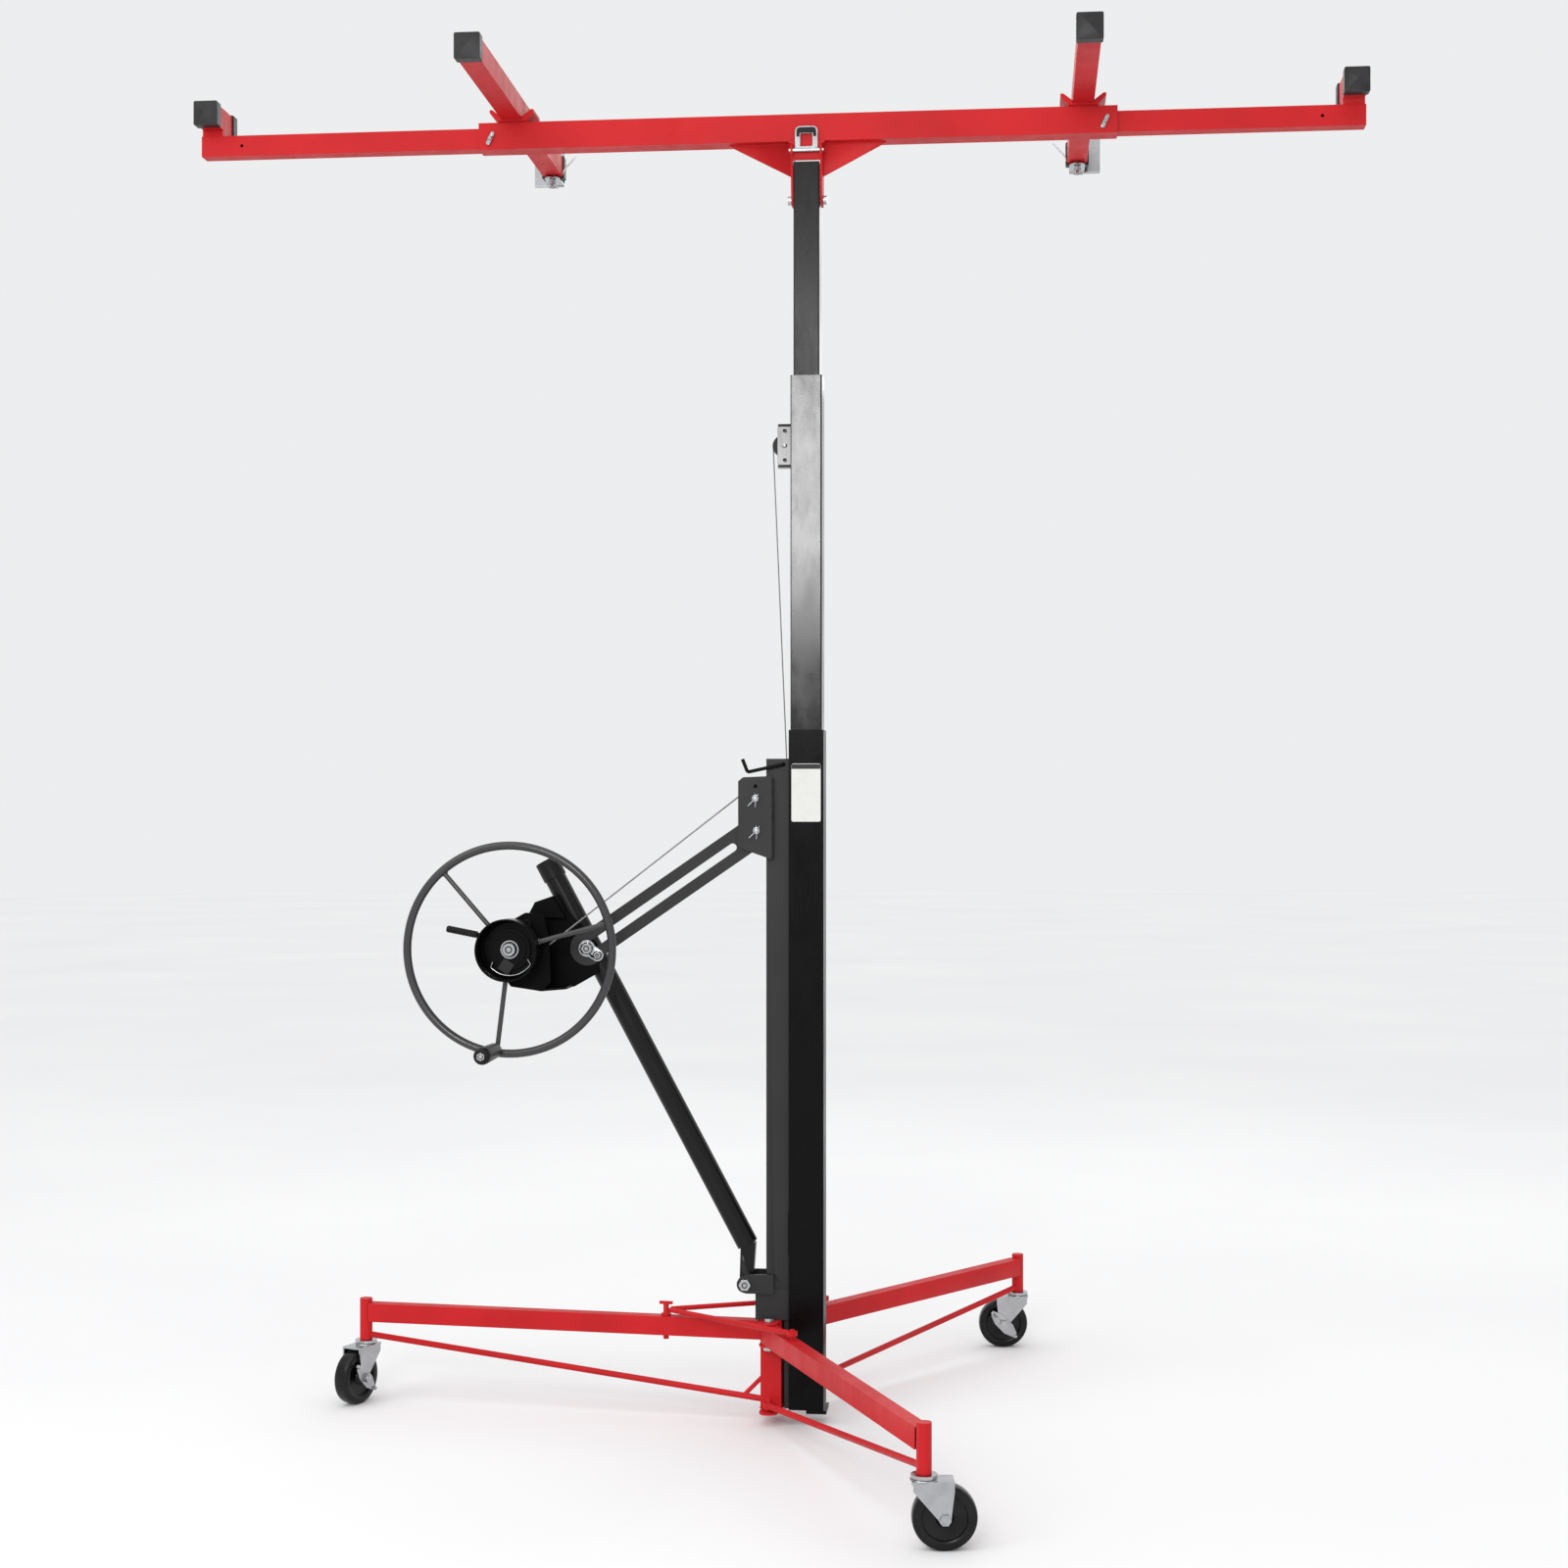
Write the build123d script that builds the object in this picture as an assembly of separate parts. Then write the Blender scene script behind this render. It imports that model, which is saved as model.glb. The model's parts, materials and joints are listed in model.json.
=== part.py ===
from build123d import *
import os
from math import asin, atan2, cos, degrees, hypot, pi, radians, sin

# Drywall lift, millimetres. +X runs along the crossbar, +Y away from the winch's
# hand wheel, +Z up. The mast's axis is x = y = 0 and the floor is z = 0.

# ---- driving dimensions: mast
OUTER_SIDE, OUTER_WALL = 62.0, 2.0
MIDDLE_SIDE, MIDDLE_WALL = 56.0, 2.0
INNER_SIDE, INNER_WALL = 46.0, 2.0
OUTER_Z = (27.0, 1234.0)
MIDDLE_Z = (564.0, 1864.0)
INNER_Z = (944.0, 2244.0)
STAGE_DOWN, STAGE_UP = 280.0, 490.0       # travel of each stage from rest
SLOT_HALF = 4.5                            # half width of the slots for the lift lug
FIT = 0.06                                 # radial clearance of a running fit
GAP = 0.4                                  # gap between faces that move past each other

# ---- upright, socket, winch bracket
UPRIGHT_X = (-72.0, -31.0)
UPRIGHT_HALF = 20.0
UPRIGHT_WALL = 2.5
UPRIGHT_TOP = 1183.0
SLEEVE_X, SLEEVE_HALF = (-91.0, -31.0), 24.0
SLEEVE_Z = (185.0, 240.0)
SOCKET_SIDE = 42.6
BRACKET_FACE, BRACKET_PLATE = 30.0, 3.0
PULLEY_PIN = (-90.0, 1112.0)
ARM_PIN = (-88.0, 1055.0)
CLEVIS_BOLT = (-109.0, 248.0)
CLEVIS_BOLT_R = 6.0
LOCK_ROD_HOLE, LOCK_ROD_R = (-41.0, 1173.0), 3.2
PIN_R = 4.0

# ---- cables and pulleys
LIFT_CABLE_R = 1.6
LIFT_PITCH_R = 23.5
STAGE_CABLE_R = 1.2
STAGE_PULLEY = (-43.0, 1742.0)
STAGE_PITCH_R = 18.5
STAGE_ANCHOR = (-37.0, 1178.0)

# ---- base
POST_X = -62.0
POST_SIDE, POST_WALL = 38.0, 2.5
POST_Z = (22.0, 232.0)
BASE_TWIST = -6.0                          # slop of the post in its socket, degrees
LEG_REACH = 770.0
LEG_Z = (146.0, 180.0)
LEG_WIDTH, LEG_WALL = 25.0, 1.8
HINGE_OFFSET = 38.0
HINGED_LEG_LENGTH = 737.0
LEG_SPLAY = 60.0
LEG_BOLT_R = 5.0
LOWER_STUD_R = 4.0
EYE_Z = (30.0, 42.0)
SOCKET_Z = (112.0, 188.0)
SOCKET_R = 11.5
SPREADER_R = 4.5
SPREADER_ON_LEG = 130.0
LOCK_PIN_REACH = 197.0
LOCK_PIN_R = 5.0
LOCK_PIN_Z = (138.0, 203.0)
SPREADER_Z = 190.0
SPREADER_SHORT = 10.0                      # a spreader stops this far from the lock pin

# ---- casters: {name: (swivel angle, has a brake)}
WHEEL_R, WHEEL_HALF = 49.0, 14.0
TRAIL = 30.0
STEM_R = 5.5
AXLE_R = 5.0
FORK_IN, FORK_PLATE = 17.0, 3.0
BRAKE_PLATE = 2.5
BRAKE_TILT = 45.0                          # lean of a brake lever's wings, degrees
CASTERS = {"left": (-112.0, True), "front": (6.0, False), "rear": (186.0, True)}

# ---- cradle
BAR_X = (-593.0, 548.0)
BAR_Z = (2281.0, 2329.0)
BAR_HALF, BAR_WALL = 20.0, 2.0
EXT_Z = (2283.4, 2320.4)
EXT_HALF, EXT_WALL = 15.0, 2.0
EXT_LENGTH = 600.0
EXT_END = {"left": -1108.0, "right": 977.0}
ARM_SIDE, ARM_WALL = 38.0, 2.0
ARM_HALF_LENGTH = 372.0
ARM_Z = (2332.3, 2370.3)
ARM_X = {"left": -531.0, "right": 488.0}
CAP_SIDE = 44.0
CAP_SKIRT, CAP_FACE, CAP_PEAK = 14.0, 6.0, 14.0
TILT_Z = 2180.0
TILT_BOLT_R = 5.0
EAR_X = (24.0, 28.0)
LATCH_PIN = (-26.5, 2263.0)
HOOK_Y = 352.0
HOOK_LIP_Y = (400.0, 403.0)
HOOK_TOP = 2395.0

# ---- winch
STRUT_LEAN = 28.1
STRUT_START = (-107.7, 315.0)
STRUT_LENGTH = 759.0
STRUT_R, STRUT_WALL = 19.4, 2.0
SHAFT = (-517.0, 846.0)
SHAFT_R = 8.0
SLOT_PIN = (-394.0, 844.0)
ARM_HALF_WIDTH, ARM_END_R = 27.0, 31.0
ARM_PLATE_Y = (-26.0, -22.0)
REAR_PLATE_Y = (-21.5, -17.0)
STRUT_Y = REAR_PLATE_Y[1] + STRUT_R       # the tube lies against the rear plate
FRONT_PLATE_Y = (-86.0, -82.0)
DRUM_Y = (-78.0, -34.0)
DRUM_CORE_R, DRUM_FLANGE_R = 30.0, 50.0
DRUM_PITCH_R = DRUM_CORE_R + LIFT_CABLE_R + 0.5
RIM_R, RIM_TUBE_R = 183.0, 7.5
RIM_Y = -112.0
SPOKE_ANGLES = (131.0, 15.0, -97.0)
CUP_R, CUP_Y = 55.0, (-146.0, -98.0)
KNOB_R_OUT = 178.0
KNOB_ANGLE = -97.5
KNOB_Y = (-232.0, -122.0)
BRAKE_DISC_R = 28.0
LEVER_PIVOT, LEVER_KNEE, LEVER_TIP = (-490.0, 890.0), (-575.0, 870.0), (-627.0, 880.0)
LEVER_Y = (-94.0, -88.0)
LEVER_HALF_WIDTH, GRIP_R = 4.5, 6.5


# ---- basic shapes
def block(x, y, z):
    """A box from (low, high) pairs."""
    size = [high - low for low, high in (x, y, z)]
    middle = [(high + low) / 2 for low, high in (x, y, z)]
    return Pos(*middle) * Box(*size)


def square_tube_z(x, half_y, z, wall):
    outside = block(x, (-half_y, half_y), z)
    inner_x = (x[0] + wall, x[1] - wall)
    return outside - block(inner_x, (wall - half_y, half_y - wall), (z[0] - 1, z[1] + 1))


def disc_z(x, y, z, radius):
    return Pos(x, y, (z[0] + z[1]) / 2) * Cylinder(radius, z[1] - z[0])


def disc_y(spot, y, radius):
    """A cylinder along Y at spot = (x, z)."""
    turned = Rot(90, 0, 0) * Cylinder(radius, y[1] - y[0])
    return Pos(spot[0], (y[0] + y[1]) / 2, spot[1]) * turned


def disc_x(x, y, z, radius):
    turned = Rot(0, 90, 0) * Cylinder(radius, x[1] - x[0])
    return Pos((x[0] + x[1]) / 2, y, z) * turned


def rod(start, end, radius):
    path = Vector(*end) - Vector(*start)
    plane = Plane(origin=start, z_dir=path)
    bottom = (Align.CENTER, Align.CENTER, Align.MIN)
    return plane * Cylinder(radius, path.length, align=bottom)


def plate_xz(points, y):
    """A flat plate from an outline in X and Z, between two values of Y."""
    face = Plane.XZ.offset(-y[1]) * Polygon(*points, align=None)
    return extrude(face, y[1] - y[0], dir=(0, -1, 0))


def stadium_xz(start, end, radius, y):
    """A flat bar with round ends between two points in X and Z."""
    length = hypot(end[0] - start[0], end[1] - start[1])
    turn = degrees(atan2(end[1] - start[1], end[0] - start[0]))
    middle = Pos((start[0] + end[0]) / 2, (y[0] + y[1]) / 2, (start[1] + end[1]) / 2)
    flat = extrude(SlotCenterToCenter(length, 2 * radius), (y[1] - y[0]) / 2, both=True)
    return middle * Rot(90, 0, 0) * Rot(0, 0, turn) * flat


def hexagon(spot, y, across):
    """A hexagon nut or bolt head along Y."""
    radius = across / 3 ** 0.5
    face = Plane.XZ.offset(-y[1]) * Pos(*spot) * RegularPolygon(radius, 6)
    return extrude(face, y[1] - y[0])


def hexagon_z(x, y, z, across):
    face = Pos(x, y, z[0]) * RegularPolygon(across / 3 ** 0.5, 6)
    return extrude(face, z[1] - z[0])


def save(name, *shapes):
    solids = [solid for shape in shapes for solid in shape.solids()]
    export_step(Compound(solids), f"parts/{name}.step")


# ---- mast
def outer_mast_tube():
    half = OUTER_SIDE / 2
    tube = square_tube_z((-half, half), half, OUTER_Z, OUTER_WALL)
    tube -= block((-half - 1, -half + OUTER_WALL + 1), (-SLOT_HALF, SLOT_HALF), lug_slot())
    foot = block((0, half + 5), (-half, half), (OUTER_Z[0] - 6, OUTER_Z[0]))
    return tube + foot


def lug_slot():
    """Height range of the slot that the middle tube's lift lug runs in."""
    return MIDDLE_Z[0] - STAGE_DOWN - 14, MIDDLE_Z[0] + STAGE_UP + 46


def mast_upright():
    low, high = UPRIGHT_X
    middle_z = (SLEEVE_Z[1], UPRIGHT_TOP)
    body = square_tube_z(UPRIGHT_X, UPRIGHT_HALF, middle_z, UPRIGHT_WALL)
    slot_y = (-SLOT_HALF, SLOT_HALF)
    body -= block((high - UPRIGHT_WALL - 1, high + 1), slot_y, lug_slot())
    pulley_window = (PULLEY_PIN[1] - 34, PULLEY_PIN[1] + 30)
    body -= block((low - 1, low + UPRIGHT_WALL + 1), (-7, 7), pulley_window)
    sleeve = block(SLEEVE_X, (-SLEEVE_HALF, SLEEVE_HALF), SLEEVE_Z)
    pocket = SOCKET_SIDE / 2
    pocket_x = (POST_X - pocket, POST_X + pocket)
    sleeve -= block(pocket_x, (-pocket, pocket), (SLEEVE_Z[0] - 1, SLEEVE_Z[1] - 4))
    strip = block((-40, UPRIGHT_X[1]), (-UPRIGHT_HALF, UPRIGHT_HALF), (OUTER_Z[0], SLEEVE_Z[0]))
    anchor = block((-46, high - UPRIGHT_WALL), (-12, 12), (1162, 1172))
    body -= disc_y(LOCK_ROD_HOLE, (-UPRIGHT_HALF - 1, 0), LOCK_ROD_R + FIT)
    return body + sleeve + strip + anchor + strut_clevis()


def strut_clevis():
    """Two ears that hold the foot bolt of the winch strut."""
    ears = []
    for side in (-1, 1):
        y = sorted((side * 24.0, side * 30.0))
        ear = block((CLEVIS_BOLT[0], -58), y, (232, 266))
        ear += disc_y(CLEVIS_BOLT, y, 15)
        web = block((-70, -58), sorted((side * 19.0, side * 25.0)), (241, 266))
        ears.append(ear + web - disc_y(CLEVIS_BOLT, (-40, 40), CLEVIS_BOLT_R))
    return ears[0] + ears[1]


def winch_bracket():
    outline = [(-121, 1143), (-112, 1150), (-61, 1152), (-61, 1004), (-113, 1022), (-121, 1027)]
    plates = []
    for side in (-1, 1):
        y = sorted((side * BRACKET_FACE, side * (BRACKET_FACE + BRACKET_PLATE)))
        plate = plate_xz(outline, y)
        for spot in (PULLEY_PIN, ARM_PIN):
            plate -= disc_y(spot, (-50, 50), PIN_R)
        plate -= disc_y((-90, 1134), (-50, 50), 2)
        inner = sorted((side * UPRIGHT_HALF, side * BRACKET_FACE))
        plate += block((-70, -62), inner, (1096, 1150))
        plate += block((-68, -62), inner, (1004, 1016))
        plates.append(plate)
    return plates


def frame_fasteners():
    """Bolts and pins that stay with the base: leg bolts, clevis bolt, bracket pins."""
    pieces = []
    for side in (-1, 1):
        y = side * HINGE_OFFSET
        bolt = disc_z(0, y, (134, 190), LEG_BOLT_R)
        bolt += hexagon_z(0, y, (184.5, 191), 16) + hexagon_z(0, y, (134, 141.5), 16)
        pieces.append(base_place() * bolt)
    reach = 38.0
    bolt = disc_y(CLEVIS_BOLT, (-reach, reach), CLEVIS_BOLT_R)
    bolt += hexagon(CLEVIS_BOLT, (-reach, -30), 19) + hexagon(CLEVIS_BOLT, (30, reach), 19)
    pieces.append(bolt)
    face = BRACKET_FACE + BRACKET_PLATE
    for spot in (PULLEY_PIN, ARM_PIN):
        pin = disc_y(spot, (-face - 8, face + 3), PIN_R) + disc_y(spot, (face, face + 3), 7)
        ring = Pos(spot[0], -face - 4.5, spot[1]) * Rot(90, 0, 0) * Torus(PIN_R + 1.2, 1.2)
        pieces.append(pin + ring)
    return pieces


def lock_rod():
    """Bent rod that hooks into the upright's side and lies over the bracket."""
    y = -25.0
    x, z = LOCK_ROD_HOLE
    points = [(x, -14, z), (x, y, z), (-104, y - 9, z - 14), (-113, y - 9, z + 9)]
    path = FilletPolyline(*points, radius=4.5)
    start = Plane(origin=path @ 0, z_dir=path % 0)
    return sweep(start * Circle(LOCK_ROD_R), path=path)


def pulley(spot, groove_r, flange_r, half, bore):
    """A grooved pulley on a Y axle."""
    body = disc_y(spot, (-half, half), groove_r)
    for side in (-1, 1):
        body += disc_y(spot, sorted((side * (half - 1.6), side * half)), flange_r)
    return body - disc_y(spot, (-half - 1, half + 1), bore)


def lift_cable_span():
    """From the drum's under side to the top of the bracket's pulley."""
    start, end = lift_cable_ends()
    return rod(start, Vector(*end) + (Vector(*start) - Vector(*end)).normalized() * GAP, LIFT_CABLE_R)


def lift_cable_rise():
    """Slope of the line that passes under the drum and over the bracket's pulley."""
    run, climb = PULLEY_PIN[0] - SHAFT[0], PULLEY_PIN[1] - SHAFT[1]
    return atan2(climb, run) + asin((DRUM_PITCH_R + LIFT_PITCH_R) / hypot(run, climb))


def lift_cable_ends():
    rise = lift_cable_rise()
    start = (SHAFT[0] + DRUM_PITCH_R * sin(rise), sum(DRUM_Y) / 2, SHAFT[1] - DRUM_PITCH_R * cos(rise))
    end_x = PULLEY_PIN[0] - LIFT_PITCH_R * sin(rise)
    return start, (end_x, 0.0, PULLEY_PIN[1] + LIFT_PITCH_R * cos(rise))


def lift_cable_drop():
    """Round the bracket's pulley and down inside the upright to the lift lug."""
    first = Vector(*lift_cable_ends()[1])
    centre = Vector(PULLEY_PIN[0], 0, PULLEY_PIN[1])
    half_turn = (pi / 2 - lift_cable_rise()) / 2
    crown = centre + Vector(sin(half_turn), 0, cos(half_turn)) * LIFT_PITCH_R
    side = centre + Vector(LIFT_PITCH_R, 0, 0)
    arc = ThreePointArc(first, crown, side)
    drop = Line(side, Vector(side.X, 0, MIDDLE_Z[0] + 30.5))
    return sweep_wire(arc, drop, LIFT_CABLE_R)


def stage_cable_span():
    """The slanted run outside the mast, from the upright's top to the stage pulley."""
    start = (STAGE_ANCHOR[0], 0, 1172.5)
    return rod(start, (STAGE_PULLEY[0] - STAGE_PITCH_R, 0, STAGE_PULLEY[1] - 0.3), STAGE_CABLE_R)


def stage_cable_drop():
    """Over the stage pulley and down between the middle and inner tubes."""
    centre = Vector(STAGE_PULLEY[0], 0, STAGE_PULLEY[1])
    reach = Vector(STAGE_PITCH_R, 0, 0)
    arc = ThreePointArc(centre - reach, centre + Vector(0, 0, STAGE_PITCH_R), centre + reach)
    drop = Line(centre + reach, Vector(centre.X + reach.X, 0, INNER_Z[0] + 12.5))
    return sweep_wire(arc, drop, STAGE_CABLE_R)


def sweep_wire(first, second, radius):
    path = Wire([first, second])
    return sweep(Plane(origin=path @ 0, z_dir=path % 0) * Circle(radius), path=path)


def middle_mast_tube():
    half = MIDDLE_SIDE / 2
    tube = square_tube_z((-half, half), half, MIDDLE_Z, MIDDLE_WALL)
    window = (STAGE_PULLEY[1] - 22, STAGE_PULLEY[1] + 22)
    tube -= block((-half - 1, -half + MIDDLE_WALL + 1), (-6.5, 6.5), window)
    lug = block((-69, -half), (-3, 3), (MIDDLE_Z[0], MIDDLE_Z[0] + 30))
    return tube + lug


def middle_tube_glides():
    """Plastic pads round the foot of the middle tube."""
    return glide_pads(MIDDLE_SIDE / 2, OUTER_SIDE / 2 - OUTER_WALL - 0.25, MIDDLE_Z[0] + 40)


def inner_tube_glides():
    inside = MIDDLE_SIDE / 2 - MIDDLE_WALL - GAP
    return glide_pads(INNER_SIDE / 2, inside, INNER_Z[0] + 20)


def glide_pads(low, high, base_z):
    pads = []
    pad_z = (base_z, base_z + 60)
    for turn in range(4):
        for side in (-1, 1):
            pad = block((low, high), sorted((side * 8, side * 18)), pad_z)
            pads.append(Rot(0, 0, 90 * turn) * pad)
    return pads


def stage_pulley_bracket():
    half = MIDDLE_SIDE / 2
    ears = []
    for side in (-1, 1):
        ear = block((-53, -half), sorted((side * 5.6, side * 8.6)), (1703, 1780))
        for spot_z in (1716, 1768):
            ear -= disc_y((-40, spot_z), (-10, 10), 2.2)
        ears.append(ear - disc_y(STAGE_PULLEY, (-10, 10), PIN_R))
    ends = [block((-53, -half), (-8.6, 8.6), z) for z in ((1703, 1706), (1777, 1780))]
    bracket = ears[0] + ears[1] + ends[0] + ends[1]
    axle = disc_y(STAGE_PULLEY, (-11, 11), PIN_R)
    return [bracket, axle]


def inner_mast_tube():
    half = INNER_SIDE / 2
    tube = square_tube_z((-half, half), half, INNER_Z, INNER_WALL)
    tube -= disc_x((-half - 1, half + 1), 0, TILT_Z, TILT_BOLT_R)
    lug = block((-half - 2.6, -half), (-4, 4), (INNER_Z[0], INNER_Z[0] + 12))
    return tube + lug


def tilt_bolt():
    bolt = disc_x((-EAR_X[1] - 7, EAR_X[1] + 7), 0, TILT_Z, TILT_BOLT_R)
    for side in (-1, 1):
        x = sorted((side * (EAR_X[1] + GAP), side * (EAR_X[1] + 7)))
        bolt += disc_x(x, 0, TILT_Z, 8)
    return bolt


# ---- cradle
def crossbar():
    bar = block(BAR_X, (-BAR_HALF, BAR_HALF), BAR_Z)
    inner = BAR_HALF - BAR_WALL
    bar -= block((BAR_X[0] - 1, BAR_X[1] + 1), (-inner, inner), (BAR_Z[0] + BAR_WALL, BAR_Z[1] - BAR_WALL))
    for x in ARM_X.values():
        bar -= disc_z(x, 0, (BAR_Z[1] - BAR_WALL - 1, BAR_Z[1] + 1), LEG_BOLT_R + FIT)
    for x in lock_pin_places():
        bar -= disc_y((x, 2300), (-BAR_HALF - 1, -inner + 1), 3)
    return bar


def lock_pin_places():
    return BAR_X[0] + 22, BAR_X[1] - 22


def crossbar_lock_pins():
    pins = []
    for x in lock_pin_places():
        pin = disc_y((x, 2300), (-BAR_HALF - 9, -BAR_HALF + BAR_WALL - 0.1), 3)
        clip = stadium_xz((x - 4, 2292), (x + 4, 2309), 3.5, (-BAR_HALF - 4, -BAR_HALF - 1.5))
        pins.append(pin + clip)
    return pins


def centre_bracket():
    top = BAR_Z[0]
    ear_outline = [(-22, top), (22, top), (20, 2200), (14, 2170), (-14, 2170), (-20, 2200),
                   (-22, 2250), (-31, 2256), (-31, 2270), (-22, 2276)]
    body = block((-32, 32), (-22, 22), (top - 4, top))
    for side in (-1, 1):
        x = sorted((side * EAR_X[0], side * EAR_X[1]))
        face = Plane.YZ.offset(x[0]) * Polygon(*ear_outline, align=None)
        ear = extrude(face, x[1] - x[0], dir=(1, 0, 0))
        ear -= disc_x((-40, 40), 0, TILT_Z, TILT_BOLT_R + FIT)
        ear -= disc_x((-40, 40), *LATCH_PIN, 3 + FIT)
        gusset = [(side * EAR_X[1], top), (side * 142, top), (side * EAR_X[1], 2222)]
        body += ear + plate_xz(gusset, (-2.5, 2.5))
    return body + block((-EAR_X[0], EAR_X[0]), (-22, -18.5), (2250, top))


def tilt_latch():
    """A round-shouldered frame with a window, on a pin through the bracket's ears."""
    pin_y, pin_z = LATCH_PIN
    frame = block((-20, 20), (-25.5, -23), (pin_z, 2306))
    shoulders = frame.edges().filter_by(Axis.Y).group_by(Axis.Z)[-1]
    frame = fillet(shoulders, 9)
    frame -= block((-11, 11), (-30, -20), (pin_z + 7, 2293))
    knuckle = disc_x((-22, 22), pin_y, pin_z, 3.45)
    return frame + knuckle + disc_x((-31, 31), pin_y, pin_z, 3)


def rect_tube_x(x, half_y, z, wall):
    outside = block(x, (-half_y, half_y), z)
    inside = block((x[0] - 1, x[1] + 1), (wall - half_y, half_y - wall), (z[0] + wall, z[1] - wall))
    return outside - inside


def rect_tube_y(x_mid, half, y, z, wall):
    outside = block((x_mid - half, x_mid + half), y, z)
    inner_x = (x_mid - half + wall, x_mid + half - wall)
    return outside - block(inner_x, (y[0] - 1, y[1] + 1), (z[0] + wall, z[1] - wall))


def extension(side):
    """A sliding arm of the crossbar with its raised end support."""
    inward = 1 if side == "left" else -1
    end = EXT_END[side]
    tube = rect_tube_x(sorted((end, end + inward * EXT_LENGTH)), EXT_HALF, EXT_Z, EXT_WALL)
    middle = end + inward * 21
    riser = block((middle - 19, middle + 19), (-EXT_HALF, EXT_HALF), (EXT_Z[1] - EXT_WALL, ARM_Z[0]))
    hole = disc_y((end + inward * 75, (EXT_Z[0] + EXT_Z[1]) / 2), (-EXT_HALF - 1, EXT_HALF + 1), 3)
    support = rect_tube_y(middle, ARM_SIDE / 2, (-50, 50), ARM_Z, ARM_WALL)
    return tube - hole + riser + support


def end_cap(x, y, facing):
    """A plastic cap with a pyramid face on a square tube's end along Y."""
    z_mid = (ARM_Z[0] + ARM_Z[1]) / 2
    half, hole = CAP_SIDE / 2, ARM_SIDE / 2
    skirt = Box(CAP_SIDE, CAP_SKIRT + CAP_FACE, CAP_SIDE)
    skirt = fillet(skirt.edges().filter_by(Axis.Y), 3)
    skirt = Pos(0, (CAP_FACE - CAP_SKIRT) / 2, 0) * skirt
    skirt -= block((-hole, hole), (-CAP_SKIRT - 1, 0), (-hole, hole))
    base = Plane(origin=(0, CAP_FACE, 0), z_dir=(0, 1, 0))
    peak = base.offset(CAP_PEAK - CAP_FACE)
    pyramid = loft([base * Rectangle(2 * half - 4, 2 * half - 4), peak * Rectangle(2, 2)])
    turn = 0 if facing > 0 else 180
    return Pos(x, y, z_mid) * Rot(0, 0, turn) * (skirt + pyramid)


def extension_caps(side):
    inward = 1 if side == "left" else -1
    middle = EXT_END[side] + inward * 21
    return [end_cap(middle, facing * 50, facing) for facing in (-1, 1)]


def cross_arm(side):
    x = ARM_X[side]
    arm = rect_tube_y(x, ARM_SIDE / 2, (-ARM_HALF_LENGTH, ARM_HALF_LENGTH), ARM_Z, ARM_WALL)
    wall_z = (ARM_Z[0] - 1, ARM_Z[0] + ARM_WALL + 1)
    arm -= disc_z(x, 0, wall_z, LEG_BOLT_R)
    return arm - disc_z(x, HOOK_Y, wall_z, PIN_R)


def cross_arm_caps(side):
    return [end_cap(ARM_X[side], facing * ARM_HALF_LENGTH, facing) for facing in (-1, 1)]


def arm_saddle(side):
    """A plate under the arm with lips that lean outwards."""
    plate_z = (BAR_Z[1] + 0.3, ARM_Z[0])
    body = block((-26, 26), (-29, 29), plate_z)
    for lean in (-1, 1):
        lip = [(lean * 19.3, plate_z[0]), (lean * 26, plate_z[0]), (lean * 40, plate_z[1] + 12),
               (lean * 40, plate_z[1] + 17), (lean * 35, plate_z[1] + 17), (lean * 19.3, plate_z[1] + 5)]
        body += plate_xz(lip, (-29, 29))
    return Pos(ARM_X[side], 0, 0) * (body - disc_z(0, 0, (2320, 2340), LEG_BOLT_R))


def arm_pivot(side):
    """Carriage bolt, nut and spring that hold the arm on the crossbar."""
    x = ARM_X[side]
    under = BAR_Z[1] - BAR_WALL
    bolt = disc_z(x, 0, (under - 4, under - 0.5), 10) + disc_z(x, 0, (under - 1.5, 2364), LEG_BOLT_R)
    nut = hexagon_z(x, 0, (2357, 2363), 16) - disc_z(x, 0, (2350, 2370), LEG_BOLT_R)
    spring = disc_z(x, 0, (ARM_Z[0] + ARM_WALL, 2357), 8) - disc_z(x, 0, (2330, 2360), LEG_BOLT_R)
    return [bolt, nut, spring]


def panel_hook(side):
    """A swinging strap with an upturned lip that catches the edge of a panel."""
    x = ARM_X[side]
    outward = -1 if side == "left" else 1
    strap_z = (ARM_Z[0] - 7, ARM_Z[0] - 4)
    inside = ARM_Z[0] + ARM_WALL
    strap = block((x - 15, x + 15), (HOOK_Y, HOOK_LIP_Y[1]), strap_z)
    strap += disc_z(x, HOOK_Y, strap_z, 15)
    strap += block(sorted((x - outward * 15, x + outward * 45)), HOOK_LIP_Y, (strap_z[0], HOOK_TOP))
    bolt = disc_z(x, HOOK_Y, (2308, inside + 4), PIN_R - FIT)
    bolt += hexagon_z(x, HOOK_Y, (2310, 2316), 13)
    bolt += disc_z(x, HOOK_Y, (inside + GAP, inside + 4), 7)
    return strap + bolt


# ---- winch
def lean_vector():
    lean = radians(STRUT_LEAN)
    return Vector(-sin(lean), 0, cos(lean))


def strut_plane(distance):
    start = Vector(STRUT_START[0], STRUT_Y, STRUT_START[1]) + lean_vector() * distance
    return Plane(origin=start, z_dir=lean_vector(), x_dir=(0, 1, 0))


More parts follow.
